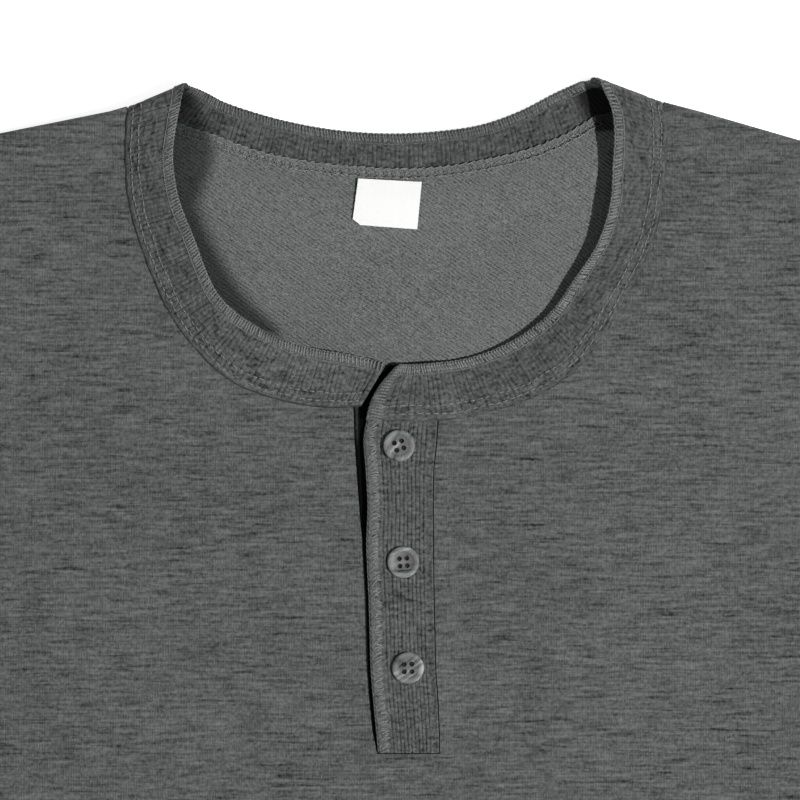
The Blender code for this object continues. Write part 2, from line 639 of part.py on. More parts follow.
def add_button(name, x, y, turn, lean):
    """A four-hole button with a raised rim and a dished middle."""
    work = bmesh.new()
    rings = []
    for radius, height in BUTTON_PROFILE:
        angles = np.linspace(0, 2 * math.pi, BUTTON_SIDES, endpoint=False)
        rings.append([work.verts.new((radius * math.cos(a) * MM, radius * math.sin(a) * MM, height * MM))
                      for a in angles])
    for low, high in zip(rings, rings[1:]):
        for i in range(BUTTON_SIDES):
            j = (i + 1) % BUTTON_SIDES
            work.faces.new((low[i], low[j], high[j], high[i]))
    work.faces.new(rings[0][::-1])
    work.faces.new(rings[-1])
    mesh = bpy.data.meshes.new(name)
    work.to_mesh(mesh)
    work.free()
    mesh.shade_smooth()
    mesh.set_sharp_from_angle(angle=math.radians(BUTTON_SHARP))
    mesh.materials.append(material(f"button_{name}"))
    made = bpy.data.objects.new(name, mesh)
    bpy.context.collection.objects.link(made)
    clear = BUTTON_RADIUS * math.sin(math.radians(lean))
    made.location = (x * MM, y * MM, (PLACKET_Z + PLACKET_WALL + RIB_HEIGHT + GAP + clear) * MM)
    made.rotation_euler = (0.0, math.radians(lean), math.radians(turn))
    cutter = hole_cutter(name)
    cutter.parent = made
    cut = made.modifiers.new("holes", "BOOLEAN")
    cut.object = cutter
    cut.operation = "DIFFERENCE"
    cut.solver = "EXACT"


def hole_cutter(name):
    """Four thin cylinders for a button's holes."""
    work = bmesh.new()
    for sx in (-1, 1):
        for sy in (-1, 1):
            made = bmesh.ops.create_cone(work, segments=HOLE_SIDES, radius1=HOLE_RADIUS * MM,
                                         radius2=HOLE_RADIUS * MM, depth=HOLE_DEPTH * MM, cap_ends=True)
            offset = Vector((sx * HOLE_SPACING / 2, sy * HOLE_SPACING / 2, 0.0)) * MM
            bmesh.ops.translate(work, verts=made["verts"], vec=offset)
    mesh = bpy.data.meshes.new(f"{name}_holes")
    work.to_mesh(mesh)
    work.free()
    cutter = bpy.data.objects.new(f"{name}_holes", mesh)
    bpy.context.collection.objects.link(cutter)
    cutter.hide_render = True
    return cutter


def add_label():
    """The size label, on the back panel just below its neck seam."""
    outline = np.array(LABEL)
    dense = []
    for i, corner in enumerate(outline):
        following = outline[(i + 1) % len(outline)]
        pieces = max(1, int(np.linalg.norm(following - corner) // LABEL_SPACING))
        dense += [corner + (following - corner) * k / pieces for k in range(pieces)]

    def resting(points):
        return back_under(points) + JERSEY + GAP + EASE

    add_panel("label", np.array(dense), np.zeros(len(dense)), resting, 1,
              [(outline, LABEL_SPACING, LABEL_REACH)], "label", wall=LABEL_WALL)


def clear_scene():
    """Take away whatever the scene holds."""
    for existing in list(bpy.data.objects):
        bpy.data.objects.remove(existing, do_unlink=True)


def main():
    clear_scene()
    add_body()
    add_sleeve("sleeve_left", -1)
    add_sleeve("sleeve_right", 1)
    add_neckband()
    add_placket_under()
    add_placket()
    for number, spot in enumerate(BUTTONS, 1):
        add_button(f"button_{number}", *spot)
    add_label()


main()
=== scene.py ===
"""Looks of the henley shirt, laid flat on its back and seen from straight above.

The forms repeat the tables and formulas of the shirt's solids at a finer step. Sizes are in
millimetres up to add_mesh, which turns them into metres. The sides are as seen from above.
"""
import math

import bmesh
import bpy
import numpy as np
from mathutils import Euler, Matrix, Vector
from mathutils.geometry import delaunay_2d_cdt


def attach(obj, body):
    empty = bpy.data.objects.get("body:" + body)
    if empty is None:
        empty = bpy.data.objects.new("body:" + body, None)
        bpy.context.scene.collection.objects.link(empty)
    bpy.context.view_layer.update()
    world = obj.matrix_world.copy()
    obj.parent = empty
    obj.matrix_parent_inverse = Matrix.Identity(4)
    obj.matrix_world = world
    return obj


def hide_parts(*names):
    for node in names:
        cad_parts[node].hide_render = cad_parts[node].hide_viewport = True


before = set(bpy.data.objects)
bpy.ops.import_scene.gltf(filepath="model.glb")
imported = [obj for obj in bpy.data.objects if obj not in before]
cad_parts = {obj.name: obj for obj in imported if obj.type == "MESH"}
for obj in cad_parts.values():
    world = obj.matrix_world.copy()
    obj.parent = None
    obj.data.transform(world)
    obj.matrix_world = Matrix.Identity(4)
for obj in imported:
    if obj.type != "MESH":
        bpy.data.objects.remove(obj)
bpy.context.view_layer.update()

MM = 0.001
RANDOM = np.random.default_rng(7)

# Cloth and seams, as in the solids
JERSEY = 1.2
BAND = 1.8
RIB_HEIGHT = 0.35
RIB_PITCH = 1.85
GROOVE_WIDTH = 0.24
GAP = 0.3
EASE = 0.3
ALLOWANCE = 7.0
FOLD_RADIUS = 2.4
ROLL_WIDTH = 28.0
LAYER = 1.5

CHEST_HALF = 285.0
WAIST_HALF = 279.0
HEM_HALF = 283.0
HEM_Y = -375.9
HEM_SAG = 5.0
UNDERARM_Y = 105.0
WAIST_Y = -90.0
SHOULDER_TIP = {-1: (-245.0, 330.5), 1: (245.0, 326.0)}
SHOULDER_LINE = {
    -1: ((-200.0, 343.0), (-157.6, 352.4), (-113.6, 361.1), (-106.9, 363.0)),
    1: ((200.0, 339.0), (162.4, 349.6), (122.4, 361.1), (107.9, 364.8)),
}
ARMHOLE_PULL = (232.0, 215.0)
SIDE_STEPS = 60
ARMHOLE_STEPS = 48
HEM_STEPS = 80
CUFF_TOP = (455.0, 222.0)
CUFF_BOTTOM = (370.0, 62.0)
SLEEVE_RADIUS = FOLD_RADIUS + GAP / 2
CUFF_STEP = 0.6                # what the turned-up cloth adds to a cuff

# The neckband: free edge x, y; sewn edge x, y; rise of the free edge; turn (0 front, 180 back)
NECKBAND = (
    (-3.2, 260.4, -13.6, 243.2, 0.2, 0),
    (-16.8, 263.3, -22.4, 242.3, 0.4, 0),
    (-33.6, 266.4, -41.6, 244.4, 1.0, 0),
    (-52.8, 273.8, -66.4, 253.6, 3.0, 0),
    (-68.8, 285.8, -85.6, 273.2, 4.5, 0),
    (-80.0, 310.4, -100.0, 302.4, 4.8, 0),
    (-87.0, 330.4, -106.8, 326.4, 4.5, 0),
    (-88.3, 344.8, -107.8, 340.0, 4.2, 0),
    (-86.6, 356.8, -107.6, 350.4, 3.0, 0),
    (-85.0, 365.2, -106.8, 358.8, 1.5, 0),
    (-84.2, 369.8, -106.4, 361.0, 1.5, 50),
    (-83.4, 371.4, -105.6, 362.1, 1.5, 90),
    (-82.0, 371.2, -104.0, 361.0, 1.5, 130),
    (-79.2, 370.2, -98.8, 357.2, 0.0, 180),
    (-74.4, 368.0, -88.8, 350.0, 0.0, 180),
    (-68.8, 365.0, -76.4, 345.6, 0.0, 180),
    (-55.6, 360.4, -61.6, 340.0, 0.0, 180),
    (-37.6, 355.8, -41.6, 335.0, 0.0, 180),
    (-17.6, 352.8, -19.2, 332.2, 0.0, 180),
    (2.4, 352.0, 2.4, 331.0, 0.0, 180),
    (18.4, 353.0, 19.2, 331.8, 0.0, 180),
    (34.4, 355.4, 36.8, 334.6, 0.0, 180),
    (50.4, 361.0, 56.0, 339.2, 0.0, 180),
    (64.8, 368.4, 73.2, 346.4, 0.0, 180),
    (72.0, 371.6, 84.0, 352.8, 0.0, 180),
    (75.6, 373.0, 97.2, 358.4, 0.0, 180),
    (78.2, 373.2, 104.4, 362.6, 1.5, 130),
    (79.8, 373.6, 106.6, 363.9, 1.5, 90),
    (81.6, 372.8, 107.4, 363.0, 1.5, 50),
    (83.8, 369.0, 108.4, 360.0, 1.5, 0),
    (86.8, 361.6, 109.2, 354.8, 3.0, 0),
    (87.9, 352.4, 109.4, 347.6, 4.2, 0),
    (87.4, 339.6, 109.3, 338.8, 4.6, 0),
    (86.4, 324.4, 107.8, 324.8, 4.5, 0),
    (82.0, 309.6, 104.0, 309.2, 2.6, 0),
    (72.0, 293.6, 93.6, 287.2, 0.9, 0),
    (59.6, 277.6, 74.8, 259.4, -0.4, 0),
    (45.6, 268.2, 58.4, 247.8, -0.8, 0),
    (29.6, 262.2, 38.4, 240.8, -0.8, 0),
    (16.8, 260.3, 20.8, 237.5, -0.6, 0),
    (8.0, 259.6, 5.6, 237.2, -0.3, 0),
    (1.6, 259.6, -11.0, 237.2, 0.0, 0),
)
CORNER_CLEAR = 0.3
NECK_LIFT = BAND + RIB_HEIGHT + GAP + 0.2
LIFT_FULL = ALLOWANCE + 3.0
LIFT_END = 31.0

# The placket: y, left edge x, right edge x, curl of the left edge
PLACKET = (
    (244.0, -8.8, 17.2, 0.0),
    (237.2, -11.2, 17.4, 0.0),
    (229.6, -12.4, 17.0, 0.4),
    (217.6, -11.3, 15.7, 0.9),
    (203.6, -10.5, 15.5, 1.1),
    (187.6, -11.2, 15.6, 0.9),
    (164.0, -10.1, 15.9, 0.8),
    (137.6, -9.4, 16.5, 0.9),
    (125.6, -8.4, 17.4, 0.8),
    (113.6, -7.2, 17.9, 0.5),
    (104.4, -6.4, 18.1, 0.1),
)
PLACKET_WALL = 1.4
PLACKET_Z = LAYER + JERSEY + GAP
PLACKET_BINDING = 5.0
PLACKET_RIBS = 13
PLACKET_LIGHT = 0.32           # its bound edge is paler than the ribs
PLACKET_PLAIN = 0.7            # without ribs, at its right edge
BAND_OVER = (2.5, 1.5, 262.0)  # the band lies on it from left to right and up to this y
CURL_WIDTH = 7.0
STEP_UP = PLACKET_Z - LAYER
STEP_WIDTH = 12.0
SLOT_LEFT = (
    (247.2, -16.4),
    (229.6, -15.9),
    (213.6, -14.8),
    (197.6, -13.6),
    (189.6, -12.8),
    (165.6, -11.3),
    (137.6, -10.6),
    (125.6, -9.9),
    (113.6, -8.8),
    (104.1, -6.8),
)
UNDER_WALL = JERSEY
UNDER_SHORT = 2.4
UNDER_TOP = 259.5              # its end, sewn in between the two ends of the neckband
UNDER_RISE = 0.5               # how much it rises towards that end
UNDER_RIBS = 14

# Each button: x, y, turn, lean and the direction of the streaks in it
BUTTONS = ((2.0, 227.4, 18.0, 3.0, 60.0), (3.7, 180.8, 4.0, 0.0, 8.0), (5.6, 138.5, 2.0, 0.0, 35.0))
BUTTON_RADIUS = 6.35
HOLE_RADIUS = 0.95
HOLE_SPACING = 3.0
BUTTON_REST = 0.1              # drawn down by its thread, almost onto the ribs
BUTTON_FLAT = 0.66             # its thickness, as a share of its solid's
BUTTON_SIDES = 72
HOLES = ((-1, -1), (-1, 1), (1, -1), (1, 1))     # on which side of its middle each hole is
LABEL = ((-13.4, 315.6), (9.3, 313.9), (11.1, 332.8), (-14.3, 334.2), (-16.5, 318.0))
LABEL_WALL = 0.5

# Turned-in cloth at the armholes: how far each way it reaches, where it starts, and its heights
SEAM_REACH = 2.0
SEAM_INSET = 2.2
SEAM_HEIGHTS = (1.37, 1.45)

# Sewing
HEM_DEPTH = 24.0               # turned up and stitched down, at the body's hem and the cuffs
NEEDLE_ROWS = (2.9, 6.2)       # two rows of topstitching, measured from the band's sewn edge
STITCH_LENGTH = 2.8
STITCH_PARTS = np.array((0.0, 0.12, 0.5, 0.88, 1.0))     # along a stitch, from hole to hole
HEM_NEEDLES = (4.6, 1.2)       # two rows of topstitching, measured down from the top of a hem
OVERLOCK_WIDTH = 3.7
OVERLOCK_PITCH = 1.3
LOOP_PITCH = 3.4               # of the coverstitch inside the back neck
LOOP_REACH = 1.9
LOOP_MIDDLE = 1.8              # how far its middle row is from the neck edge
# Lines along the band's free edge: name, how far in, how deep, radius, stitch length and waviness
EDGE_LINES = (("neckband_edge_chain", 0.02, 0.45, 0.36, 2.6, 0.14),
              ("neckband_needle_line", 3.9, 0.02, 0.24, 2.9, 0.10))
BACK_SHADE = 0.24              # how much darker the sewing is on the back half's free edge
BAND_PRESSED = ((0.0, 1.0, 3.0, 7.0), (0.42, 1.0, 1.35, 1.8))   # its thickness in from the sewn edge
BAND_DROP = 0.52               # how much closer to the front that edge lies
BAND_WAVE = 0.12               # and how much that varies
BAND_FRONT = (60, 30)          # the turn at which the band leaves the front, and over how much
RIB_SIDES = (115, 50)          # the turn at which its ribs change sides, and over how much
NEEDLE_SUNK = 0.34             # how deep its topstitching lies
NECK_DRAWN = 0.42              # how far the back panel is drawn down along its neck edge
NECK_PRESSED = 0.9             # and how much thinner it is pressed there
BACK_TOUCH = (0.35, 0.88)      # how far it swells up to the band's free edge, on the right and left
FRONT_SWELL = 0.22             # of the loose front panel
SEAM_DIP = 0.45                # how far a seam draws the cloth down
SEAM_SOFT = 1.6                # and over what width
END_BOW = 2.7                  # how far the band's right end swells past its straight line
END_REACH = 12.0               # and over what length of the band
END_BINDING = 4.6              # smooth bound strip along that end
BINDING_LIGHT = 0.6            # the overlocked strips are paler than the ribs
EDGE_PAINTED_SHADE = 1.3                # and the sewn edge gets painted shade
SETTLED = 0.7                  # how far the free edge sinks on the right of the placket
SETTLED_END = 0.6              # and how much more at the band's right end

# Soft ridges of the panel on top: x, y of both ends and of the middle's pull, half width, height
FRONT_RIDGES = (
    (-262.0, 78.0, -176.0, 132.0, -225.0, 92.0, 9.0, 2.5),
    (-268.0, 30.0, -150.0, 46.0, -214.0, 54.0, 11.0, 2.0),
    (262.0, 82.0, 172.0, 140.0, 224.0, 96.0, 9.0, 2.6),
    (266.0, 22.0, 160.0, 66.0, 210.0, 30.0, 12.0, 1.9),
    (-242.0, -120.0, -118.0, -64.0, -190.0, -80.0, 12.0, 2.4),
    (-228.0, -214.0, -60.0, -190.0, -140.0, -226.0, 11.0, 1.8),
    (238.0, -108.0, 96.0, -60.0, 176.0, -98.0, 12.0, 2.5),
    (244.0, -236.0, 118.0, -176.0, 170.0, -226.0, 12.0, 2.1),
    (-96.0, -340.0, -64.0, -238.0, -92.0, -286.0, 9.0, 2.1),
    (58.0, -346.0, 36.0, -226.0, 66.0, -284.0, 11.0, 2.0),
    (196.0, -348.0, 186.0, -268.0, 204.0, -304.0, 9.0, 2.2),
    (-200.0, -346.0, -188.0, -262.0, -206.0, -300.0, 9.0, 2.0),
    (-40.0, 60.0, -24.0, -90.0, -52.0, -20.0, 26.0, 1.2),
    (52.0, 84.0, 60.0, -40.0, 78.0, 20.0, 28.0, 1.0),
    (-120.0, 236.0, -152.0, 118.0, -150.0, 176.0, 26.0, 0.35),
    (128.0, 226.0, 150.0, 112.0, 150.0, 168.0, 28.0, 0.35),
    (-188.0, 318.0, -206.0, 196.0, -182.0, 262.0, 18.0, 1.1),
    (190.0, 312.0, 206.0, 192.0, 184.0, 256.0, 18.0, 1.1),
)
SLEEVE_RIDGES = (
    (262.0, 296.0, 352.0, 196.0, 316.0, 264.0, 9.0, 2.2),
    (300.0, 118.0, 356.0, 176.0, 316.0, 156.0, 7.0, 2.4),
    (262.0, 226.0, 330.0, 150.0, 286.0, 172.0, 9.0, 1.9),
    (420.0, 214.0, 352.0, 232.0, 384.0, 236.0, 8.0, 1.5),
)
# Low swells of the back panel inside the neck, where nothing lies on it
BACK_RIDGES = (
    (-60.0, 322.0, -30.0, 268.0, -52.0, 292.0, 22.0, 0.5),
    (58.0, 326.0, 34.0, 270.0, 56.0, 300.0, 20.0, 0.4),
)

FLOAT_PITCHES = ((0.00235, 0.00166), (0.00200, -0.00093))    # of the inner side's two waves, along x and y
FLOAT_SLOPE = (0.0016, 0.0024)
PAINTED_CORNER_SHADE = ((0.0796, 0.0812), (0.3522, 0.3540), -0.80)    # painted shade of the deepest corner, where the neckband turns over at the right: from and to in x and y, and tone
TONES = {
    "heather": (0.0800, 0.0843, 0.0826),
    "inside": (0.115, 0.1222, 0.1198),
    "rib": (0.0800, 0.0845, 0.0827),
    # the under strip's rib, darkened as painted shadow
    "rib_under_painted_shadow": (0.026, 0.0277, 0.0268),
    "thread": (0.125, 0.132, 0.129),
    "overlock": (0.150, 0.158, 0.155),
    "looper": (0.178, 0.187, 0.183),
    "topstitch": (0.175, 0.184, 0.180),
    "button": (0.158, 0.162, 0.160),
    "label": (0.83, 0.83, 0.815),
}

# Light: the main lamp's place as seen from the shirt, in degrees and metres, and its power in watts
FLOOR_HALF = 6.0               # its half side, in metres
FLOOR_DROP = 0.0003            # how far below the shirt it lies, in metres
SURROUND = 0.15                # strength of the even light from all round
SIDE_LAMP = (205.0, 30.0)      # azimuth and elevation
KEY_MIDDLE = (0.0, 0.24, 0.0)  # where the key lamp points, in metres
LENS = 250.0
VIEW_MIDDLE = (2.4, 245.6)     # the middle of the photograph's frame
VIEW_SIDE = 320.0              # and its side, at the height of the placket
VIEW_LEVEL = 4.0
KEY_AZIMUTH = -15.0
KEY_ELEVATION = 50.0
KEY_DISTANCE = 4.5
KEY_SIZE = 0.16
KEY_POWER = 250.0
# A scrim that hangs between that lamp and the back panel: the part it shades, and how much
CARD_HEIGHT = 110.0
CARD_DENSITY = 0.80
CARD_SHADE = (
    (-91.0, 373.0), (-92.0, 345.0), (-90.0, 330.0), (-83.0, 310.0), (-72.0, 287.0), (-61.0, 277.0),
    (-52.0, 271.0), (-43.0, 269.5), (-47.0, 275.0), (-55.0, 282.0), (-62.0, 291.0), (-69.0, 303.0),
    (-74.0, 314.0), (-76.5, 322.0), (-73.5, 332.0), (-71.5, 342.0), (-73.0, 352.0), (-78.0, 363.0),
    (-82.0, 373.0),
)


# ---------------------------------------------------------------- plan geometry

def smooth(value):
    """0 below 0, 1 above 1, and an S curve between."""
    value = np.clip(value, 0.0, 1.0)
    return value * value * (3.0 - 2.0 * value)


def bell(value, width):
    """1 where the value is 0, and falling off on both sides."""
    return np.exp(-(value / width) ** 2)


def unit(vectors):
    """Vectors with a length of 1."""
    return vectors / np.maximum(np.linalg.norm(vectors, axis=-1, keepdims=True), 1e-9)


def run_of(line):
    """How far along a polyline each of its points is."""
    return np.concatenate([[0], np.cumsum(np.linalg.norm(np.diff(line, axis=0), axis=1))])


def read(table, run, places):
    """Rows of a table, given at the places in run, read at other places."""
    return np.stack([np.interp(places, run, column) for column in table.T], axis=-1)


def at_height(table, y, column=1):
    """A column of a table whose first column falls with each row, read at heights y."""
    return np.interp(y, table[::-1, 0], table[::-1, column])


def nearest(points, line):
    """Distance from each point to an open polyline, and how far along it that is, 0 to 1."""
    points = np.atleast_2d(points)[:, None, :]
    start, step = line[:-1], line[1:] - line[:-1]
    along = ((points - start) * step).sum(2) / np.maximum((step ** 2).sum(1), 1e-9)
    along = np.clip(along, 0.0, 1.0)
    gaps = ((points - (start + along[..., None] * step)) ** 2).sum(2)
    best = gaps.argmin(1)
    rows = np.arange(len(best))
    return np.sqrt(gaps[rows, best]), (best + along[rows, best]) / len(step)


def distance(points, *lines):
    """Distance from each point to the nearest of some open polylines."""
    return np.min([nearest(points, line)[0] for line in lines], axis=0)


def inside(points, outline):
    """Which points lie inside a closed outline."""
    x, y = points[:, 0:1], points[:, 1:2]
    x0, y0 = outline[:, 0], outline[:, 1]
    x1, y1 = np.roll(x0, -1), np.roll(y0, -1)
    spans = (y0 > y) != (y1 > y)
    rise = np.where(y1 == y0, 1e-9, y1 - y0)
    return (spans & (x < x0 + (y - y0) * (x1 - x0) / rise)).sum(1) % 2 == 1


def bezier(start, pull, end, steps):
    """Points of a curve that a single control point draws in."""
    t = np.linspace(0.0, 1.0, steps + 1)[:, None]
    start, pull, end = (np.array(point, float) for point in (start, pull, end))
    return (1 - t) ** 2 * start + 2 * t * (1 - t) * pull + t ** 2 * end


def spline(rows, spacing):
    """Rows joined by a smooth curve through all of them, read again at an even spacing."""
    rows = np.array(rows, float)
    middle = (rows[:, 0:2] + rows[:, 2:4]) / 2
    knots = run_of(middle) + 0.5 * np.arange(len(rows))
    slopes = np.gradient(rows, knots, axis=0)
    dense = np.linspace(0, knots[-1], 3000)
    cell = np.clip(np.searchsorted(knots, dense) - 1, 0, len(knots) - 2)
    width = (knots[cell + 1] - knots[cell])[:, None]
    t = (dense - knots[cell])[:, None] / width
    curve = ((2 * t ** 3 - 3 * t ** 2 + 1) * rows[cell] + (t ** 3 - 2 * t ** 2 + t) * width * slopes[cell]
             + (3 * t ** 2 - 2 * t ** 3) * rows[cell + 1] + (t ** 3 - t ** 2) * width * slopes[cell + 1])
    run = run_of((curve[:, 0:2] + curve[:, 2:4]) / 2)
    return read(curve, run, np.linspace(0, run[-1], int(round(run[-1] / spacing)) + 1))


def softened(values, reach):
    """A row of heights with its steps drawn out over some stations."""
    kernel = np.hanning(2 * reach + 3)[1:-1]
    padded = np.concatenate([np.full(reach, values[0]), values, np.full(reach, values[-1])])
    return np.convolve(padded, kernel / kernel.sum(), "valid")


BAND_ROWS = spline(NECKBAND, RIB_PITCH / 2)
EDGE, SEAM, RISE = BAND_ROWS[:, 0:2], BAND_ROWS[:, 2:4], BAND_ROWS[:, 4]
TURN = np.clip(BAND_ROWS[:, 5], 0, 180)
COVERED = SEAM + ALLOWANCE * unit(EDGE - SEAM)
BACK_PART = np.flatnonzero(TURN >= 179.5)
LEFT_PART = np.arange(0, np.flatnonzero(TURN > 0.5)[0])
RIGHT_PART = np.arange(np.flatnonzero(TURN > 0.5)[-1] + 1, len(TURN))
PLACKET_ROWS = np.array(PLACKET)
SLOT_ROWS = np.array(SLOT_LEFT)


def neck_corner(side):
    """Where the body's shoulder fold meets its neck edge, inside the turn of the neckband."""
    turned = np.flatnonzero((TURN > 60) & (TURN < 120) & (np.sign(SEAM[:, 0]) == side))
    middle = turned[len(turned) // 2]
    across = unit(EDGE[middle] - SEAM[middle])
    clear = np.array([-across[1], across[0]]) * side * (BAND + RIB_HEIGHT + GAP + CORNER_CLEAR)
    return COVERED[middle] + clear, SEAM[middle] + clear


def shoulder(side):
    """The body's shoulder fold, from the armhole to the neck edge."""
    corner, under_seam = neck_corner(side)
    return np.array([SHOULDER_TIP[side], *SHOULDER_LINE[side], under_seam, corner])


def armhole(side):
    """The armhole seam, from the shoulder tip to the underarm."""
    pull = (side * ARMHOLE_PULL[0], ARMHOLE_PULL[1])
    return bezier(SHOULDER_TIP[side], pull, (side * CHEST_HALF, UNDERARM_Y), ARMHOLE_STEPS)


def side_fold(side):
    """The side of the body, from the underarm to the hem."""
    t = np.linspace(0.0, 1.0, SIDE_STEPS + 1)
    y = UNDERARM_Y + (HEM_Y + HEM_SAG - UNDERARM_Y) * t
    x = np.interp(y, (HEM_Y, WAIST_Y, UNDERARM_Y), (HEM_HALF, WAIST_HALF, CHEST_HALF))
    return np.stack([side * x, y], axis=1)


def hem(inset=0.0):
    """The hem, or a line that runs inset above it."""
    t = np.linspace(0.0, 1.0, HEM_STEPS + 1)
    y = HEM_Y + HEM_SAG * (2 * t - 1) ** 2 + inset
    return np.stack([-HEM_HALF + 2 * HEM_HALF * t, y], axis=1)


SLOT_RIGHT = PLACKET_ROWS[:, [2, 0]] + (GAP + 0.1, 0.0)
SLOT_BOTTOM_Y = PLACKET_ROWS[-1, 0] - GAP - 0.1
STEP_LINE = np.array([*SLOT_RIGHT, (SLOT_RIGHT[-1, 0], SLOT_BOTTOM_Y), (SLOT_ROWS[-1, 1], SLOT_BOTTOM_Y)])
REST_LINE = EDGE[RIGHT_PART[EDGE[RIGHT_PART, 0] < 34.0]] + (0.0, 3.0)
BACK_NECK = np.array([neck_corner(-1)[0], *COVERED[BACK_PART[4:-4]], neck_corner(1)[0]])
FOLDS = [np.concatenate([shoulder(side)[::-1], armhole(side)[:1]]) for side in (-1, 1)]
FOLDS += [side_fold(side) for side in (-1, 1)]
ARMHOLES = [armhole(side) for side in (-1, 1)]


def back_under(points):
    """Height of the back panel's underside."""
    return NECK_LIFT * (1 - smooth((distance(points, BACK_NECK) - LIFT_FULL) / (LIFT_END - LIFT_FULL)))


def rolled_up(away):
    """1 at the folds of two layers, and 0 where they lie flat on each other."""
    return 1 - smooth((away - FOLD_RADIUS) / ROLL_WIDTH)


def front_under(points):
    """Height of the front panel's underside, without its creases."""
    rolled = 2 * FOLD_RADIUS + GAP - JERSEY
    step = 1 - smooth(distance(points, STEP_LINE) / STEP_WIDTH)
    lift = LAYER + (rolled - LAYER) * rolled_up(distance(points, *FOLDS))
    return back_under(points) + lift + STEP_UP * step


def ridges(points, table):
    """Height of soft uneven ridges, each fading out at its ends and sides."""
    total = np.zeros(len(points))
    for number, (x0, y0, x1, y1, px, py, width, height) in enumerate(table):
        pull = (2 * px - (x0 + x1) / 2, 2 * py - (y0 + y1) / 2)
        away, along = nearest(points, bezier((x0, y0), pull, (x1, y1), 16))
        uneven = 0.8 + 0.2 * np.sin(7.0 * along + 1.7 * number)
        total += height * uneven * bell(away, width) * np.sin(np.pi * np.clip(along, 0.03, 0.97)) ** 0.7
    return total


def hem_step(above):
    """1 on the doubled cloth of a hem and 0 past it, from the distance above its edge."""
    return 1 - smooth((above - HEM_DEPTH) / SEAM_SOFT)


def pucker(points, line, period):
    """Small ripples that run into a sewn edge and die out away from it."""
    away, along = nearest(points, line)
    wave = np.sin(2 * np.pi * along * run_of(line)[-1] / period + 1.3 * np.sin(along * 31.0))
    return wave * bell(away, 7.0)


def front_relief(points):
    """What the front panel's creases and sewing add to its height."""
    seams = [SEAM[part[::6]] for part in (LEFT_PART, RIGHT_PART)]
    near_slot = smooth((distance(points, STEP_LINE) - 6.0) / 20.0)
    loose = smooth((distance(points, *FOLDS) - 6.0) / 22.0) * near_slot
    swell = 0.6 + 0.4 * np.sin(points[:, 0] / 23.0 + 1.1 * np.sin(points[:, 1] / 31.0))
    full = FRONT_SWELL * smooth(distance(points, *seams) / 14.0) * swell
    height = loose * (ridges(points, FRONT_RIDGES) + full)
    return height + sum(0.10 * (1 + pucker(points, line, 10.5)) for line in seams)


def back_relief(points):
    """What the back panel's top shows inside the neck, above its flat underside."""
    away = distance(points, BACK_NECK)
    calm = 0.12 * smooth(away / 6.0) * (1 + pucker(points, BACK_NECK[::6], 11.0))
    low, high = BACK_TOUCH
    touching = high + (low - high) * smooth((points[:, 0] - 12.0) / 14.0)
    touching = touching * bell(distance(points, REST_LINE), 4.5)
    return ridges(points, BACK_RIDGES) * smooth((away - 8.0) / 18.0) + calm + touching


def back_lower(points):
    """Height of the back panel's underside, drawn down onto the neckband at its neck edge."""
    return back_under(points) - NECK_DRAWN * bell(distance(points, BACK_NECK), 10.0)


def back_top(points):
    """Height of the back panel's upper side, pressed thin at its neck edge."""
    pressed = NECK_PRESSED * (1 - smooth(distance(points, BACK_NECK) / 4.0))
    return back_lower(points) + back_relief(points) + JERSEY - pressed


def front_top(points):
    """Height of the front panel's upper side: raised along the hem, drawn down at the armholes."""
    above = points[:, 1] - (HEM_Y + HEM_SAG * (points[:, 0] / HEM_HALF) ** 2)
    raised = 0.75 * hem_step(above) - SEAM_DIP * bell(distance(points, *ARMHOLES), SEAM_SOFT)
    return front_under(points) + front_relief(points) + JERSEY + raised


# ---------------------------------------------------------------- meshes

def link(name, data):
    """A new object in the scene."""
    made = bpy.data.objects.new(name, data)
    bpy.context.scene.collection.objects.link(made)
    return made


def add_mesh(name, points, faces, shaders, which=None, attributes=None, sharp=None):
    """An object from points in millimetres, with a shader for each face and named point data."""
    mesh = bpy.data.meshes.new(name)
    mesh.from_pydata((np.asarray(points, float) * MM).tolist(), [], [list(map(int, f)) for f in faces])
    for shader in shaders:
        mesh.materials.append(shader)
    if which is not None:
        mesh.polygons.foreach_set("material_index", np.asarray(which, np.int32))
    for key, values in (attributes or {}).items():
        values = np.asarray(values, np.float32)
        kind, field = ("FLOAT", "value") if values.ndim == 1 else ("FLOAT_VECTOR", "vector")
        mesh.attributes.new(key, kind, "POINT").data.foreach_set(field, values.ravel())
    mesh.shade_smooth()
    if sharp:
        mesh.set_sharp_from_angle(angle=math.radians(sharp))
    work = bmesh.new()
    work.from_mesh(mesh)
    bmesh.ops.recalc_face_normals(work, faces=work.faces)
    work.to_mesh(mesh)
    work.free()
    return link(name, mesh)


def inward_normals(outline):
    """Inward unit vectors at the corners of a closed counterclockwise outline, mitred."""
    before = unit(outline - np.roll(outline, 1, axis=0))
    after = unit(np.roll(outline, -1, axis=0) - outline)
    both = unit(before + after)
    mitre = 1 / np.clip((both * before).sum(1), 0.6, 1.0)
    return np.stack([-both[:, 1], both[:, 0]], axis=1) * mitre[:, None]


def fill_points(ring, zones):
    """Points inside a ring, from lattices: one in each zone, given as line, spacing and reach."""
    low, high = ring.min(0), ring.max(0)
    closed = np.vstack([ring, ring[:1]])
    kept = ring
    for line, spacing, reach in zones:
        xs = np.arange(low[0] + spacing / 2, high[0], spacing)
        ys = np.arange(low[1] + spacing / 2, high[1], spacing * 0.866)
        grid = np.array([(x + spacing / 2 * (row % 2), y) for row, y in enumerate(ys) for x in xs])
        grid = grid[(grid > line.min(0) - reach).all(1) & (grid < line.max(0) + reach).all(1)]
        grid = grid[inside(grid, ring)]
        grid = grid[distance(grid, line) < reach]
        grid = grid[distance(grid, closed) > min(0.45 * spacing, 6.0)]
        free = [((kept - point) ** 2).sum(1).min() > (0.75 * spacing) ** 2 for point in grid]
        kept = np.vstack([kept, grid[free]])
    return kept[len(ring):]


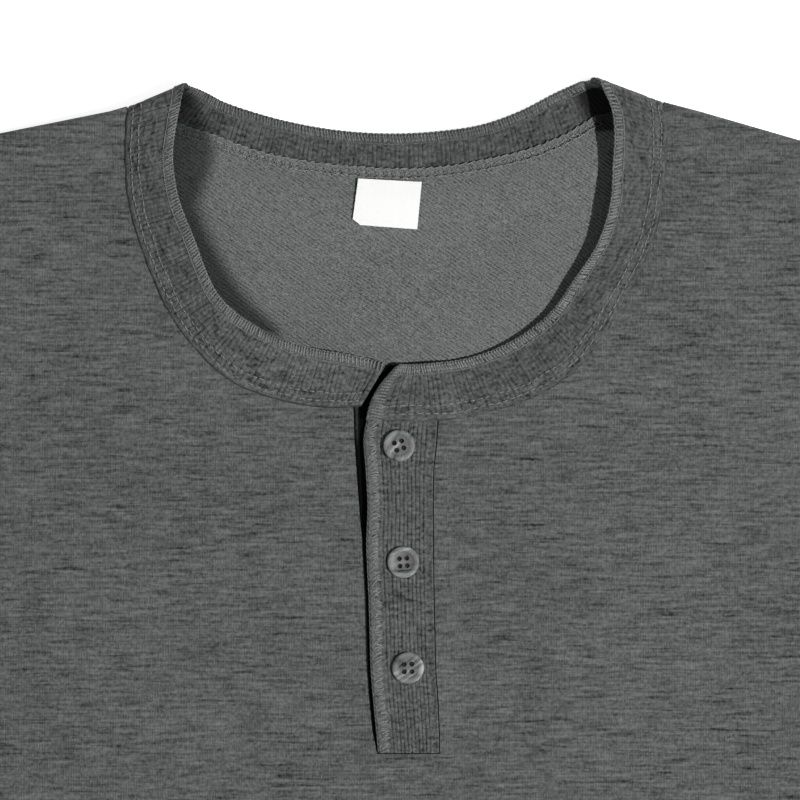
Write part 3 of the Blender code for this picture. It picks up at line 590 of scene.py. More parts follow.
def add_panel(name, outline, curl, under, relief, side, zones, shaders, wall=JERSEY, top=None):
    """A cloth panel over a closed outline, curled at its folds, as in the solids but finer.

    relief is what creases add; side is +1 for the front and -1 for the back. shaders are the
    outer and the inner face's. top, if given, is the upper side's height.
    """
    normals, curl = inward_normals(outline), np.asarray(curl, float)
    folded = curl.any()
    angles = np.radians((0, 22.5, 45, 67.5, 90) if folded else (90,))
    radii = (FOLD_RADIUS - wall, FOLD_RADIUS)[::side]
    ring = outline + normals * FOLD_RADIUS * folded
    flat = under(ring)
    low_rings, high_rings = [], []
    for angle in angles:
        outer = outline + normals * FOLD_RADIUS * (1 - math.cos(angle)) * folded
        inner = outer + normals * (curl * wall * math.cos(angle))[:, None]
        drop = side * curl * (1 - math.sin(angle))
        for rings, plan, rise, radius in zip((low_rings, high_rings), (inner, outer)[::side],
                                             (0.0, wall), radii):
            height = (1 - curl) * under(plan) + curl * flat + rise - drop * radius
            rings.append(np.column_stack([plan, height]))
    count = len(outline)
    edge = np.arange(count)
    plan = np.vstack([ring, fill_points(ring, zones)])
    loop = list(zip(edge.tolist(), np.roll(edge, -1).tolist()))
    corners = [Vector(p) for p in plan]
    found, _, triangles, sources = delaunay_2d_cdt(corners, loop, [edge.tolist()], 1, 1e-5)[:4]
    found, triangles = np.array([tuple(p) for p in found]), np.array(triangles)
    where = {ids[0]: new for new, ids in enumerate(sources)}
    rim = np.array([where[i] for i in range(count)])
    heights = under(found) + (relief(found) if side > 0 else 0.0)
    tops = top(found) if top else heights + wall + (relief(found) if side < 0 else 0.0)
    cut = curl < 0.5
    points, levels = [], []
    for rings, height in ((low_rings, heights), (high_rings, tops)):
        sheet = np.column_stack([found, height])
        sheet[rim] = rings[-1]
        sheet[rim[cut], 2] = height[rim[cut]]
        points.append(sheet)
        for level in rings[:-1]:
            level[cut, 2] = height[rim[cut]]
        levels.append([rim + len(found) * len(levels)])
    used = 2 * len(found)
    for pair in zip(low_rings[-2::-1], high_rings[-2::-1]):
        for level, ids in zip(pair, levels):
            points.append(level)
            ids.append(edge + used)
            used += count
    low_ids, high_ids = levels
    low_side, high_side = (1, 0)[::side]
    faces = triangles[:, ::-1].tolist() + (triangles + len(found)).tolist()
    which = [low_side] * len(triangles) + [high_side] * len(triangles)
    for level in range(len(angles) - 1):
        for i, j in loop:
            faces.append([low_ids[level][i], low_ids[level][j], low_ids[level + 1][j], low_ids[level + 1][i]])
            faces.append([high_ids[level + 1][i], high_ids[level + 1][j],
                          high_ids[level][j], high_ids[level][i]])
            which += [low_side, high_side]
    for i, j in loop:
        faces.append([low_ids[-1][i], low_ids[-1][j], high_ids[-1][j], high_ids[-1][i]])
        which.append(0)
    return add_mesh(name, np.vstack(points), faces, shaders, which, sharp=50)


def join_runs(*runs):
    """Runs of outline points with their curl, one after the other, without repeated points."""
    points, curls = [], []
    for line, curl in runs:
        for point in line:
            if points and np.linalg.norm(np.array(points[-1]) - point) < 0.2:
                curls[-1] = max(curls[-1], curl)
                continue
            points.append(tuple(point))
            curls.append(curl)
    if np.linalg.norm(np.array(points[0]) - points[-1]) < 0.2:
        curls[0] = max(curls[0], curls[-1])
        points.pop()
        curls.pop()
    return np.array(points), np.array(curls)


def add_body(shaders):
    """Front and back, with the outlines that they were cut to."""
    around = ((side_fold(-1)[::-1], 1), (armhole(-1)[::-1], 0), (shoulder(-1), 1))
    back_neck = COVERED[BACK_PART[4:-4:3]]
    everywhere = (hem(), 6.5, 2 * HEM_HALF - HEM_Y)
    fine = [(BACK_NECK, 4.5, LIFT_END + 4.0), (hem(HEM_DEPTH), 2.5, 3.2)]
    back, back_curl = join_runs((hem()[::-1], 0), *around, (back_neck, 0), (shoulder(1)[::-1], 1),
                                (armhole(1), 0), (side_fold(1), 1))
    made_back = add_panel("back_panel", back[::-1], back_curl[::-1], back_lower, back_relief, -1,
                          [(BACK_NECK, 1.6, 4.0), fine[0], (REST_LINE, 2.2, 10.0), everywhere],
                          shaders, top=back_top)
    left = COVERED[LEFT_PART[::-1]]
    left = left[left[:, 0] < SLOT_ROWS[0, 1] - 4.0][9::3]
    right = COVERED[RIGHT_PART]
    right = right[right[:, 0] > SLOT_RIGHT[0, 0] + 4.0][9::3][::-1]
    slot_y = np.linspace(SLOT_BOTTOM_Y, left[-1, 1], 60)[::-1]
    slot_left = np.column_stack([np.interp(slot_y, SLOT_ROWS[::-1, 0], SLOT_ROWS[::-1, 1]), slot_y])
    slot_left[0, 0] = SLOT_ROWS[0, 1]
    slot_y = np.linspace(SLOT_BOTTOM_Y, right[0, 1] - 0.3, 60)
    slot_right = np.column_stack([np.interp(slot_y, SLOT_RIGHT[::-1, 1], SLOT_RIGHT[::-1, 0]), slot_y])
    slot_right[-1, 0] = SLOT_RIGHT[0, 0]
    front, front_curl = join_runs((hem()[::-1], 0), *around, (left, 0), (slot_left, 0), (slot_right, 0),
                                  (right, 0), (shoulder(1)[::-1], 1), (armhole(1), 0), (side_fold(1), 1))
    near = [(STEP_LINE, 3.0, STEP_WIDTH + 1.0), fine[0], fine[1]]
    near += [(COVERED[part[::3]], 3.5, 20.0) for part in (LEFT_PART, RIGHT_PART)]
    near += [(line, 2.4, 4.0) for line in ARMHOLES]
    made_front = add_panel("front_panel", front[::-1], front_curl[::-1], front_under, front_relief, 1,
                           near + [everywhere], shaders, top=front_top)
    return (made_back, back), (made_front, front)


def placket_table(y):
    """The placket's left and right edge and its curl at heights y."""
    return [at_height(PLACKET_ROWS, y, column) for column in (1, 2, 3)]


def below_neckband(points):
    """Height of what the front of the neckband lies on."""
    top = front_under(points) + JERSEY
    left, right, _ = placket_table(points[:, 1])
    past_left, past_right, highest = BAND_OVER
    over = (points[:, 0] > left - past_left) & (points[:, 0] < right + past_right) & (points[:, 1] < highest)
    return np.where(over, np.maximum(top, PLACKET_Z + PLACKET_WALL + RIB_HEIGHT), top)


def neckband_frame():
    """The band's middle surface: its sewn line, covered line and free line, and its normals."""
    low = BAND / 2
    seam, covered = (below_neckband(line) + GAP + EASE + low for line in (SEAM, COVERED))
    level = np.maximum(seam, covered)
    for first, last, end in ((LEFT_PART[-1], BACK_PART[0], LEFT_PART[-1]),
                             (BACK_PART[-1], RIGHT_PART[0] + 1, RIGHT_PART[0])):
        for heights in (level, seam, covered):
            heights[first:last] = level[end]
    share = (1 + np.cos(np.radians(TURN))) / 2
    lines = [np.column_stack([plan, softened(low + (height - low) * share, 3)])
             for plan, height in ((SEAM, seam), (COVERED, covered), (EDGE, level + RISE))]
    normal = unit(np.cross(unit(lines[2] - lines[0]), np.gradient((lines[1] + lines[2]) / 2, axis=0)))
    return lines, normal * np.sign(normal[0, 2])


BAND_LINES, BAND_NORMAL = neckband_frame()
BAND_LENGTH = (len(SEAM) - 1) * RIB_PITCH / 2
BAND_WIDTH = np.linalg.norm(BAND_LINES[2] - BAND_LINES[0], axis=1)
END_TANGENT = unit(np.append((EDGE + SEAM)[-1] - (EDGE + SEAM)[-5], 0.0))


def along_band(table, s):
    """Values of a table of stations at distances s along the band."""
    place = np.clip(np.asarray(s, float) / (RIB_PITCH / 2), 0, len(SEAM) - 1 - 1e-6)
    low = place.astype(int)
    t = place - low if table.ndim == 1 else (place - low)[..., None]
    return table[low] * (1 - t) + table[low + 1] * t


def on_front(turn):
    """1 where the band lies on the front panel, and 0 from where it turns over."""
    return smooth((BAND_FRONT[0] - turn) / BAND_FRONT[1])


def shown(turn, face):
    """How much the ribs stand out on the band's outer face, 1, or its inner face, -1."""
    return smooth(face * (RIB_SIDES[0] - turn) / RIB_SIDES[1])


def band_point(s, v, lift):
    """Points of the band: s along it, v in from its sewn edge, lift off its middle surface."""
    s, v, lift = np.broadcast_arrays(*(np.asarray(a, float) for a in (s, v, lift)))
    seam, covered, edge = (along_band(line, s) for line in BAND_LINES)
    width = along_band(BAND_WIDTH, s)
    near = (v / ALLOWANCE)[..., None]
    far = ((v - ALLOWANCE) / (width - ALLOWANCE))[..., None]
    flat = np.where(near < 1, seam + (covered - seam) * near, covered + (edge - covered) * far)
    share = np.clip(v / width, 0.0, 1.0)
    left_over = BAND_LENGTH - s
    bow = END_BOW * np.sin(np.pi * share) * smooth((END_REACH - left_over) / END_REACH)
    drop = BAND_DROP + BAND_WAVE * np.sin(0.6 * s + 1.5 * np.sin(0.17 * s))
    drop = drop * (1 - smooth(v / ALLOWANCE)) * on_front(along_band(TURN, s))
    settled = SETTLED + SETTLED_END * (1 - smooth((left_over - 8.0) / 10.0))
    settled *= (1 - smooth((left_over - 45.0) / 30.0)) * smooth((share - 0.3) / 0.7)
    normal = unit(along_band(BAND_NORMAL, s))
    return flat + normal * (lift - drop - settled)[..., None] + END_TANGENT * bow[..., None]


def band_top(v, turn):
    """Lift of the band's upper side, pressed thin towards its sewn edge where it is on the front."""
    return BAND / 2 + (np.interp(v, *BAND_PRESSED) - BAND) * on_front(turn)


def rib_stations(length, pitch):
    """Places along a ribbed strip, close together in the narrow grooves between the ribs."""
    steps = np.array((0.0, 0.12, 0.26, 0.5, 0.74, 0.88)) * pitch
    count = int(length // pitch)
    return np.append((np.arange(count)[:, None] * pitch + steps).ravel(), length)


def groove(places, pitch):
    """1 in the middle of a groove between ribs and 0 on a rib."""
    return bell(np.abs((places / pitch + 0.5) % 1.0 - 0.5) * pitch, GROOVE_WIDTH)


def band_shades(s, turn):
    """How much darker the band is along it: on the whole, with painted shade in the corners where it turns
    over, and on its sewn edge's two lines, with a painted shadow line near its left end.
    """
    first, last = BACK_PART[[0, -1]] * RIB_PITCH / 2
    # painted shade in the two corners where the band turns over, most at the right
    fold = 0.20 + 0.35 * bell(s - first - 1.0, 6.0) + 0.9 * bell((s - last + 3.0) ** 2, 9.0 ** 2)
    right = 0.17 * smooth((s - last) / 20.0) * (1 - 0.5 * smooth((s - BAND_LENGTH + 60.0) / 30.0))
    shade = fold * smooth((turn - 88) / 40) + right
    # the sewn edge's lines add a painted shadow line near the band's left end
    return shade, shade + 0.7 * (1 - smooth((s - 40.0) / 30.0))


def add_neckband(shaders):
    """The neckband: ribs across it, two stitched rows sunk into it and a bound free edge."""
    s = rib_stations(BAND_LENGTH, RIB_PITCH)
    still = 0 * s
    width, turn = along_band(BAND_WIDTH, s), along_band(TURN, s)
    bound = smooth((s - BAND_LENGTH + END_BINDING) / 0.5)
    dip = groove(s, RIB_PITCH) * (0.75 + 0.25 * np.sin(s * 0.9 + np.sin(s * 0.23) * 2)) * (1 - bound)
    last = BACK_PART[-1] * RIB_PITCH / 2
    # painted shade along the sewn edge, near the left end and on the right half; none on the rest of the left
    # half and the back, where the band casts a real shadow
    edge_painted_shade = EDGE_PAINTED_SHADE * (1 - smooth((s - 50.0) / 30.0) * smooth((last - s) / 20.0))
    near = [v + still for v in (0.9, 2.2, 2.9, 3.6, 5.8, 6.5, 7.2, 9.0, 13.0)]
    far = [width - v for v in (OVERLOCK_WIDTH + 1.0, OVERLOCK_WIDTH, 2.2, 0.9)]
    sides = []
    for face in (1, -1):
        weight, rows = shown(turn, face), []
        for number, v in enumerate(near + far):
            ribbed = smooth((v - 1.0) / 1.6) * smooth((width - v - OVERLOCK_WIDTH + 0.6) / 1.2)
            needles = sum(bell(v - row, 0.5) for row in NEEDLE_ROWS)
            relief = RIB_HEIGHT * (1 - dip * ribbed) - RIB_HEIGHT * 0.35 * (1 - ribbed)
            relief = (relief - NEEDLE_SUNK * needles * (1 - bound)) * weight
            # deep: painted shade in the grooves, less on the paler bound strips
            deep = dip * ribbed * weight - BINDING_LIGHT * bound
            if number >= len(near):
                deep = deep - BINDING_LIGHT * (1 - ribbed) * weight
            rows.append((v, face * ((band_top(v, turn) if face > 0 else BAND / 2) + relief), deep))
        sides.append(rows)
    # Round the section: up the sewn edge, over the outer side, round the free edge and back below
    rows = [(still, -0.68 + still, edge_painted_shade), (0.2 + still, band_top(0.3, turn), edge_painted_shade), *sides[0],
            (width - 0.26, 0.72 + still, still), (width, still, still), (width - 0.26, -0.72 + still, still),
            *sides[1][::-1], (0.2 + still, -0.85 + still, still)]
    points = np.stack([band_point(s, v, lift) for v, lift, _ in rows])
    strip = np.vstack([np.column_stack([s, v, np.sign(lift)]) * MM for v, lift, _ in rows])
    shade, edge_shade = band_shades(s, turn)
    return add_mesh("neckband_rib", points.reshape(-1, 3), tube_faces(*points.shape[:2]), shaders, sharp=60,
                    attributes={"strip": strip, "groove": np.concatenate([deep for _, _, deep in rows]),
                                "shade": np.concatenate([edge_shade] * 2 + [shade] * (len(rows) - 2))})


def tube_faces(count, length, looped=False):
    """Faces of count lines of equal length, side by side round a section. Looped lines have no ends."""
    k, i = np.meshgrid(np.arange(count), np.arange(length if looped else length - 1), indexing="ij")
    a, b, j = k * length, (k + 1) % count * length, (i + 1) % length
    faces = np.stack([a + i, a + j, b + j, b + i], axis=-1).reshape(-1, 4).tolist()
    if not looped:
        faces.append([n * length for n in range(count)])
        faces.append([n * length + length - 1 for n in range(count)][::-1])
    return faces


def placket_height(x, y, left, right, lift):
    """The placket's curl, its height over its flat underside, and how deep in a groove it is, which sets the
    painted shade of its grooves.
    """
    ribbed = left + PLACKET_BINDING
    pitch = (right - PLACKET_PLAIN - ribbed) / PLACKET_RIBS
    place = x - ribbed
    in_ribs = smooth((place + 0.1) / 0.5) * smooth((right - PLACKET_PLAIN / 2 - x) / 0.5)
    deep = groove(np.maximum(place, 0.0), pitch) * in_ribs
    deep = deep * (0.8 + 0.2 * np.sin(y * 0.31 + x * 1.9)) - PLACKET_LIGHT * smooth(-place / 0.5)
    edge = smooth((x - left) / 0.8) * smooth((right - x) / 0.5)
    height = PLACKET_WALL * (0.55 + 0.45 * edge) + RIB_HEIGHT * (1 - deep) * edge
    height = height - 0.22 * bell(place + 0.5, 0.45)
    return lift * (1 - smooth((x - left) / CURL_WIDTH)), height, deep


def add_strip(name, columns, shaders):
    """A flat strip from columns of x, y, the lower side's z, the upper side's z and the groove's depth, which
    sets painted shade.
    """
    x, y, low, high, deep = np.array([np.broadcast_arrays(*column) for column in columns]).transpose(1, 0, 2)
    lines = np.concatenate([np.stack([x, y, high], axis=-1), np.stack([x, y, low], axis=-1)[::-1]])
    strip = lines * (MM, MM, 0.0)
    deep = np.concatenate([deep, 0 * deep])
    return add_mesh(name, lines.reshape(-1, 3), tube_faces(*lines.shape[:2]), shaders, sharp=60,
                    attributes={"strip": strip.reshape(-1, 3), "groove": deep.ravel()})


def placket_rows():
    """Heights down the placket, with its edges and curl smoothed along them."""
    y = np.linspace(PLACKET_ROWS[0, 0], PLACKET_ROWS[-1, 0], 90)
    return y, [softened(column, 3) for column in placket_table(y)]


def add_placket(shaders):
    """The upper strip, its left edge bound and curled, its ribs running down."""
    y, (left, right, lift) = placket_rows()
    ribbed = left + PLACKET_BINDING
    lines = [left + x for x in (0.0, 0.25, 0.6, 1.1, 1.8, 2.6, 3.4, 4.0, 4.5, 4.8)]
    shares = rib_stations(1.0, 1.0 / PLACKET_RIBS)
    lines += [ribbed + (right - PLACKET_PLAIN - ribbed) * share for share in shares]
    lines += [right - PLACKET_PLAIN / 2, right]
    columns = []
    for x in lines:
        curl, height, deep = placket_height(x, y, left, right, lift)
        columns.append((x, y, PLACKET_Z + curl, PLACKET_Z + curl + height, deep))
    return add_strip("placket_rib", columns, shaders)


def add_placket_under(shaders):
    """The under strip, sewn along the slot's left side."""
    y = np.linspace(UNDER_TOP, SLOT_BOTTOM_Y + GAP + 0.4, 60)
    left = at_height(SLOT_ROWS, y) + GAP + 0.15
    width = at_height(PLACKET_ROWS, y, 2) - UNDER_SHORT - left
    rest = LAYER + UNDER_RISE * smooth((y - 248.0) / 9.0)
    columns = []
    for share in rib_stations(1.0, 1.0 / UNDER_RIBS):
        deep = groove(width * share, width / UNDER_RIBS)
        columns.append((left + width * share, y, rest, rest + UNDER_WALL - RIB_HEIGHT * deep, deep))
    return add_strip("placket_under_rib", columns, shaders)


def cuff_line(side):
    """The two ends of a sleeve's cuff, upper one first."""
    return np.array([CUFF_TOP, CUFF_BOTTOM]) * (side, 1)


def sleeve_top(points, inner, side):
    """Height of a sleeve's upper side, at distances inner from its nearer fold, and its hem's."""
    table = [(side * a, b, side * c, d, side * e, f, w, h) for a, b, c, d, e, f, w, h in SLEEVE_RIDGES]
    from_cuff = distance(points, cuff_line(side))
    calm = smooth(from_cuff / 30.0) * smooth((distance(points, ARMHOLES[(side + 1) // 2]) - 2.0) / 24.0)
    flat = LAYER + JERSEY
    crease = ridges(points, table) * calm * smooth(inner / 30.0)
    return flat + (2 * SLEEVE_RADIUS - flat) * rolled_up(inner) + crease, CUFF_STEP * hem_step(from_cuff)


def add_sleeve(name, side, shaders):
    """A short sleeve: a flattened tube from the armhole to the cuff."""
    seam, cuff = armhole(side), cuff_line(side)
    run = run_of(seam)
    outward = unit(np.array([np.gradient(seam[:, 1]), -np.gradient(seam[:, 0])]).T)
    seam = seam + outward * np.sign(outward[:, :1] * side) * (GAP + 0.1)
    depth = np.linalg.norm(cuff.mean(0) - seam[len(seam) // 2])
    hem_start = 1 - HEM_DEPTH / depth
    stations = np.unique(np.concatenate([
        (0.0, 0.012, 0.03, 0.06), np.linspace(0.1, hem_start - 0.02, 18),
        (hem_start - 0.008, hem_start, hem_start + 0.008), np.linspace(hem_start + 0.03, 1.0, 4)]))
    share = np.linspace(0.0, 1.0, 34)[1:-1]
    arcs = np.radians(np.linspace(-90, 90, 9))

    def section(station, wall):
        """One closed ring: over the top from shoulder fold to underarm fold, and back below."""
        length = (1 - station) * run[-1] + station * np.linalg.norm(cuff[1] - cuff[0])
        fold_in = SLEEVE_RADIUS - (SLEEVE_RADIUS - wall) * np.cos(arcs)
        fold_up = SLEEVE_RADIUS + (SLEEVE_RADIUS - wall) * np.sin(arcs)
        across = 4.0 + (length - 8.0) * share
        d = np.concatenate([fold_in, across, length - fold_in[::-1], across[::-1]])
        start = read(seam, run, d / length * run[-1])
        end = cuff[0] + (cuff[1] - cuff[0]) * (d / length)[:, None]
        plan = start * (1 - station) + end * station
        over = plan[len(arcs):len(arcs) + len(across)]
        top, hemmed = sleeve_top(over, np.minimum(across, length - across), side)
        if wall == 0:
            top = top + hemmed - SEAM_DIP * bell(station * depth, SEAM_SOFT)
        height = np.concatenate([fold_up, top - wall, fold_up[::-1], wall + 0 * across])
        return np.column_stack([plan, height])

    rings = [section(t, 0.0) for t in stations] + [section(t, JERSEY) for t in stations[::-1]]
    count, length = len(rings), len(rings[0])
    which = np.repeat([int(len(stations) <= ring < count - 1) for ring in range(count)], length)
    made = add_mesh(name, np.vstack(rings), tube_faces(count, length, looped=True), shaders, which, sharp=60)
    return made, np.vstack([seam, cuff[::-1]])


def add_seam_allowance(name, side, shader):
    """The turned-in cloth along an armhole seam, flat between the lower and the upper layer."""
    line = armhole(side)
    tangent = unit(np.gradient(line, axis=0))
    line[0] += SEAM_INSET * tangent[0]
    line[-1] -= SEAM_INSET * tangent[-1]
    across = np.column_stack([tangent[:, 1], -tangent[:, 0]]) * SEAM_REACH
    low, high = SEAM_HEIGHTS
    rows = [np.column_stack([line + across * way, np.full(len(line), height)])
            for way, height in ((-1, low), (1, low), (1, high), (-1, high))]
    return add_mesh(name, np.vstack(rows), tube_faces(4, len(line)), [shader], sharp=60)


# ---------------------------------------------------------------- sewing

def add_threads(name, paths, radius, shader, up=(0.0, 0.0, 1.0), sides=6, taper=0.55, shade=None):
    """Short threads of equal point count, as one mesh: paths is (threads, points, 3)."""
    threads, length = paths.shape[:2]
    tangent = unit(np.gradient(paths, axis=1))
    sideways = unit(np.cross(tangent, np.broadcast_to(np.asarray(up, float), paths.shape)))[:, :, None]
    above = np.cross(sideways[:, :, 0], tangent)[:, :, None]
    t = np.linspace(0, 1, length)
    girth = radius * (taper + (1 - taper) * np.sin(np.pi * t) ** 0.5)
    angles = np.linspace(0, 2 * np.pi, sides, endpoint=False)
    ring = np.cos(angles)[:, None] * sideways + np.sin(angles)[:, None] * above
    points = paths[:, :, None, :] + ring * girth[None, :, None, None]
    k, first = np.arange(sides), np.arange(threads)[:, None] * length * sides
    base = first[:, :, None] + np.arange(length - 1)[:, None] * sides
    a, b = base + k, base + (k + 1) % sides
    faces = np.stack([a, b, b + sides, a + sides], axis=-1).reshape(-1, 4).tolist()
    faces += np.stack([first + k[::-1], first + (length - 1) * sides + k], axis=1).reshape(-1, sides).tolist()
    number = np.arange(threads)[:, None, None] * 0.0137
    strand = np.stack(np.broadcast_arrays((t * 3 * MM)[:, None], angles * MM, number), axis=-1)
    attributes = {"strip": strand.reshape(-1, 3)}
    if shade is not None:
        attributes["shade"] = np.repeat(shade, length * sides)
    return add_mesh(name, points.reshape(-1, 3), faces, [shader], attributes=attributes)


def stitch_row(line, surface, length=STITCH_LENGTH, height=0.16):
    """Topstitch paths along a plan line, lying on a surface given by its height function."""
    run = run_of(line)
    starts = np.arange(int(run[-1] // length))[:, None] * length + 0.3
    s = starts + STITCH_PARTS * (length - 0.75)
    plan = read(line, run, s)
    z = surface(plan.reshape(-1, 2)).reshape(s.shape)
    rise = np.array((-0.18, 0.6, 1.0, 0.6, -0.18)) * height
    return np.concatenate([plan, (z + rise)[..., None]], axis=-1)


def add_band_stitches(shader):
    """Two rows of topstitching along the neckband's sewn edge, on the outer side."""
    paths, ups = [], []
    for row in NEEDLE_ROWS:
        s = np.arange(2.5, BAND_LENGTH - 2.5, STITCH_LENGTH)[:, None] + STITCH_PARTS * (STITCH_LENGTH - 0.8)
        s = s[along_band(TURN, s).max(1) < BAND_FRONT[0]]
        lift = band_top(row, along_band(TURN, s)) + RIB_HEIGHT * 0.3 + (-0.25, 0.20, 0.28, 0.20, -0.25)
        wander = 0.16 * np.sin(s * 0.35 + row) + RANDOM.normal(0, 0.07, (len(s), 1))
        paths.append(band_point(s, row + wander, lift))
        ups.append(along_band(BAND_NORMAL, s))
    return add_threads("neckband_topstitching", np.concatenate(paths), 0.28, shader, up=np.concatenate(ups))


def add_overlock(shader):
    """Overlock threads that wrap the neckband's free edge all the way round."""
    starts = np.arange(0.6, BAND_LENGTH - 0.6, OVERLOCK_PITCH)
    size = (len(starts), 1)
    starts = starts + RANDOM.normal(0, 0.12, len(starts))
    turn, width = along_band(TURN, starts), along_band(BAND_WIDTH, starts)[:, None]
    face = np.where(turn < RIB_SIDES[0], 1.0, -1.0)[:, None]
    t, wrap = np.linspace(0, 1, 6), np.radians((25, 60, 90, 125))
    reach = OVERLOCK_WIDTH * (1 + RANDOM.normal(0, 0.07, size))
    slant = (0.9 + RANDOM.normal(0, 0.3, size)) * (1 - t) * -face
    s = np.concatenate([starts[:, None] + slant, starts[:, None] - 0.1 + 0 * wrap], axis=1)
    v = np.concatenate([width - reach * (1 - t) - 0.15, width - 0.15 + 0.12 * np.sin(wrap)], axis=1)
    lift = np.concatenate([BAND / 2 + 0.16 - 0.30 * (t == 0), (BAND / 2 + 0.1) * np.cos(wrap)])
    lift = face * (lift + RANDOM.normal(0, 0.07, size))
    paths = band_point(s, v, lift)
    ups = 0.3 * (paths - band_point(s, width - 1.2, 0 * lift)) + along_band(BAND_NORMAL, s) * face[..., None]
    shade = BACK_SHADE * shown(turn, -1) + 0.10 * np.sin(0.21 * starts + 3 * np.sin(0.07 * starts))
    return add_threads("neckband_overlock", paths, 0.40, shader, up=ups, taper=0.7, shade=shade)


def add_edge_chain(shader):
    """The overlock's chain along the neckband's free edge, and its needle line further in."""
    made = []
    t = np.linspace(0, 1, 6)
    for name, inset, height, radius, length, wave in EDGE_LINES:
        s = np.arange(0.4, BAND_LENGTH - length, length * 0.86)[:, None] + length * t
        face = np.where(along_band(TURN, s) < RIB_SIDES[0], 1.0, -1.0)
        v = along_band(BAND_WIDTH, s) - inset + wave * np.sin(2 * np.pi * t)
        path = band_point(s, v, face * (BAND / 2 - height + RIB_HEIGHT * 0.9 + 0.12 * np.sin(np.pi * t)))
        shade = BACK_SHADE * shown(along_band(TURN, s[:, 0]), -1)
        ups = along_band(BAND_NORMAL, s)
        made.append(add_threads(name, path, radius, shader, up=ups, taper=0.6, shade=shade))
    return made


def add_end_overlock(shader):
    """Overlock threads along the band's right end, in from its very edge, down to the placket."""
    v0 = np.arange(0.9, BAND_WIDTH[-1] - 0.6, OVERLOCK_PITCH)
    v0 = (v0 + RANDOM.normal(0, 0.08, len(v0)))[:, None]
    t = np.linspace(0, 1, 7)
    v = v0 - 1.5 * (t - 0.5)
    lift = band_top(v, 0.0) + RIB_HEIGHT + np.array((-0.6, -0.05, 0.14, 0.2, 0.18, 0.08, -0.25))
    strands = band_point(BAND_LENGTH - 0.1 - 4.0 * t, v, lift)
    v = np.arange(0.5, BAND_WIDTH[-1] - 2.0, 2.2)[:, None] + 2.6 * t
    chain = band_point(BAND_LENGTH + 0.05 + 0.12 * np.sin(2 * np.pi * t), v, band_top(v, 0.0) - 0.2)
    return add_threads("neckband_end_overlock", np.concatenate([strands, chain]), 0.38, shader, taper=0.6)


def add_placket_overlock(shader):
    """Overlock threads down the placket's left edge, leaving its very edge smooth."""
    y0 = np.arange(PLACKET_ROWS[-1, 0] + 0.8, PLACKET_ROWS[0, 0] - 6.0, 0.8 * OVERLOCK_PITCH)
    y0 = y0 + RANDOM.normal(0, 0.18, len(y0))
    t = np.linspace(0, 1, 6)
    offset = 1.8 + RANDOM.normal(0, 0.35, (len(y0), 1)) + (2.9 + RANDOM.normal(0, 0.4, (len(y0), 1))) * t
    lean = RANDOM.normal(0.7, 0.9, (len(y0), 1))
    y = y0[:, None] + lean * (t - 0.5) + RANDOM.normal(0.2, 0.4, (len(y0), 1)) * np.sin(np.pi * t)
    chain_y = np.arange(PLACKET_ROWS[-1, 0] + 0.5, PLACKET_ROWS[0, 0] - 5.0, 2.2)[:, None] + 2.6 * t
    chain_offset = 0.30 + 0.10 * np.sin(2 * np.pi * t)
    grid_y, edges = placket_rows()
    paths = []
    for y, offset, lift in ((y, offset, np.array((-0.2, 0.06, 0.16, 0.2, 0.1, -0.25))),
                            (chain_y, chain_offset, -0.1 + 0.1 * np.sin(np.pi * t))):
        left, right, curl = read(np.array(edges).T[::-1], grid_y[::-1], y).transpose(2, 0, 1)
        rise, height, _ = placket_height(left + offset, y, left, right, curl)
        paths.append(np.stack([left + offset, y, PLACKET_Z + rise + height + lift], axis=-1))
    return add_threads("placket_overlock", np.concatenate(paths), 0.31, shader, sides=6, taper=0.6)


def add_coverstitch(shader):
    """The chain of loops on the back panel just under its neck edge."""
    line = BACK_NECK[3:-3]
    run = run_of(line)
    tangent = unit(np.gradient(line, axis=0))
    inward = np.column_stack([tangent[:, 1], -tangent[:, 0]])
    inward *= np.sign(-inward[:, 1:2])

    def on_panel(s, v, lift):
        """Points at s along the neck edge, v into the panel and lift off it."""
        plan = read(line, run, s) + read(inward, run, s) * v[..., None]
        z = back_top(plan.reshape(-1, 2)).reshape(s.shape) + lift
        return np.concatenate([plan, z[..., None]], axis=-1)

    loops = int(run[-1] // LOOP_PITCH)
    t = np.linspace(0, 1, 15)
    starts = np.arange(loops)[:, None] * LOOP_PITCH + 0.4 + RANDOM.normal(0, 0.10, (loops, 1))
    phase = 2 * np.pi * t
    s = starts + LOOP_PITCH * t + 1.15 * np.sin(2 * phase)
    v = LOOP_MIDDLE + LOOP_REACH * np.cos(phase) * (1 + RANDOM.normal(0, 0.08, (loops, 1)))
    loop_path = on_panel(s, v, 0.34 + 0.18 * np.cos(2 * phase + 0.6))
    made = add_threads("back_neck_looper", loop_path, 0.28, shader, sides=5, taper=1.0)
    t = np.linspace(0, 1, 7)
    s, wave = starts + LOOP_PITCH * 0.95 * t, 0.28 * np.sin(2 * np.pi * t)
    rows = [on_panel(s, LOOP_MIDDLE + shift + wave, 0.14 + 0.26 * np.sin(np.pi * t))
            for shift in (-LOOP_REACH, 0.0, LOOP_REACH)]
    return made, add_threads("back_neck_chain", np.concatenate(rows), 0.26, shader, sides=5, taper=0.8)


def add_hem_stitches(shader):
    """Two rows round the visible side of the hem."""
    rows = []
    for below in HEM_NEEDLES:
        line = hem(HEM_DEPTH - below)
        rows.append(stitch_row(line[np.abs(line[:, 0]) < HEM_HALF - 4.0], front_top))
    return add_threads("hem_topstitching", np.concatenate(rows), 0.25, shader)


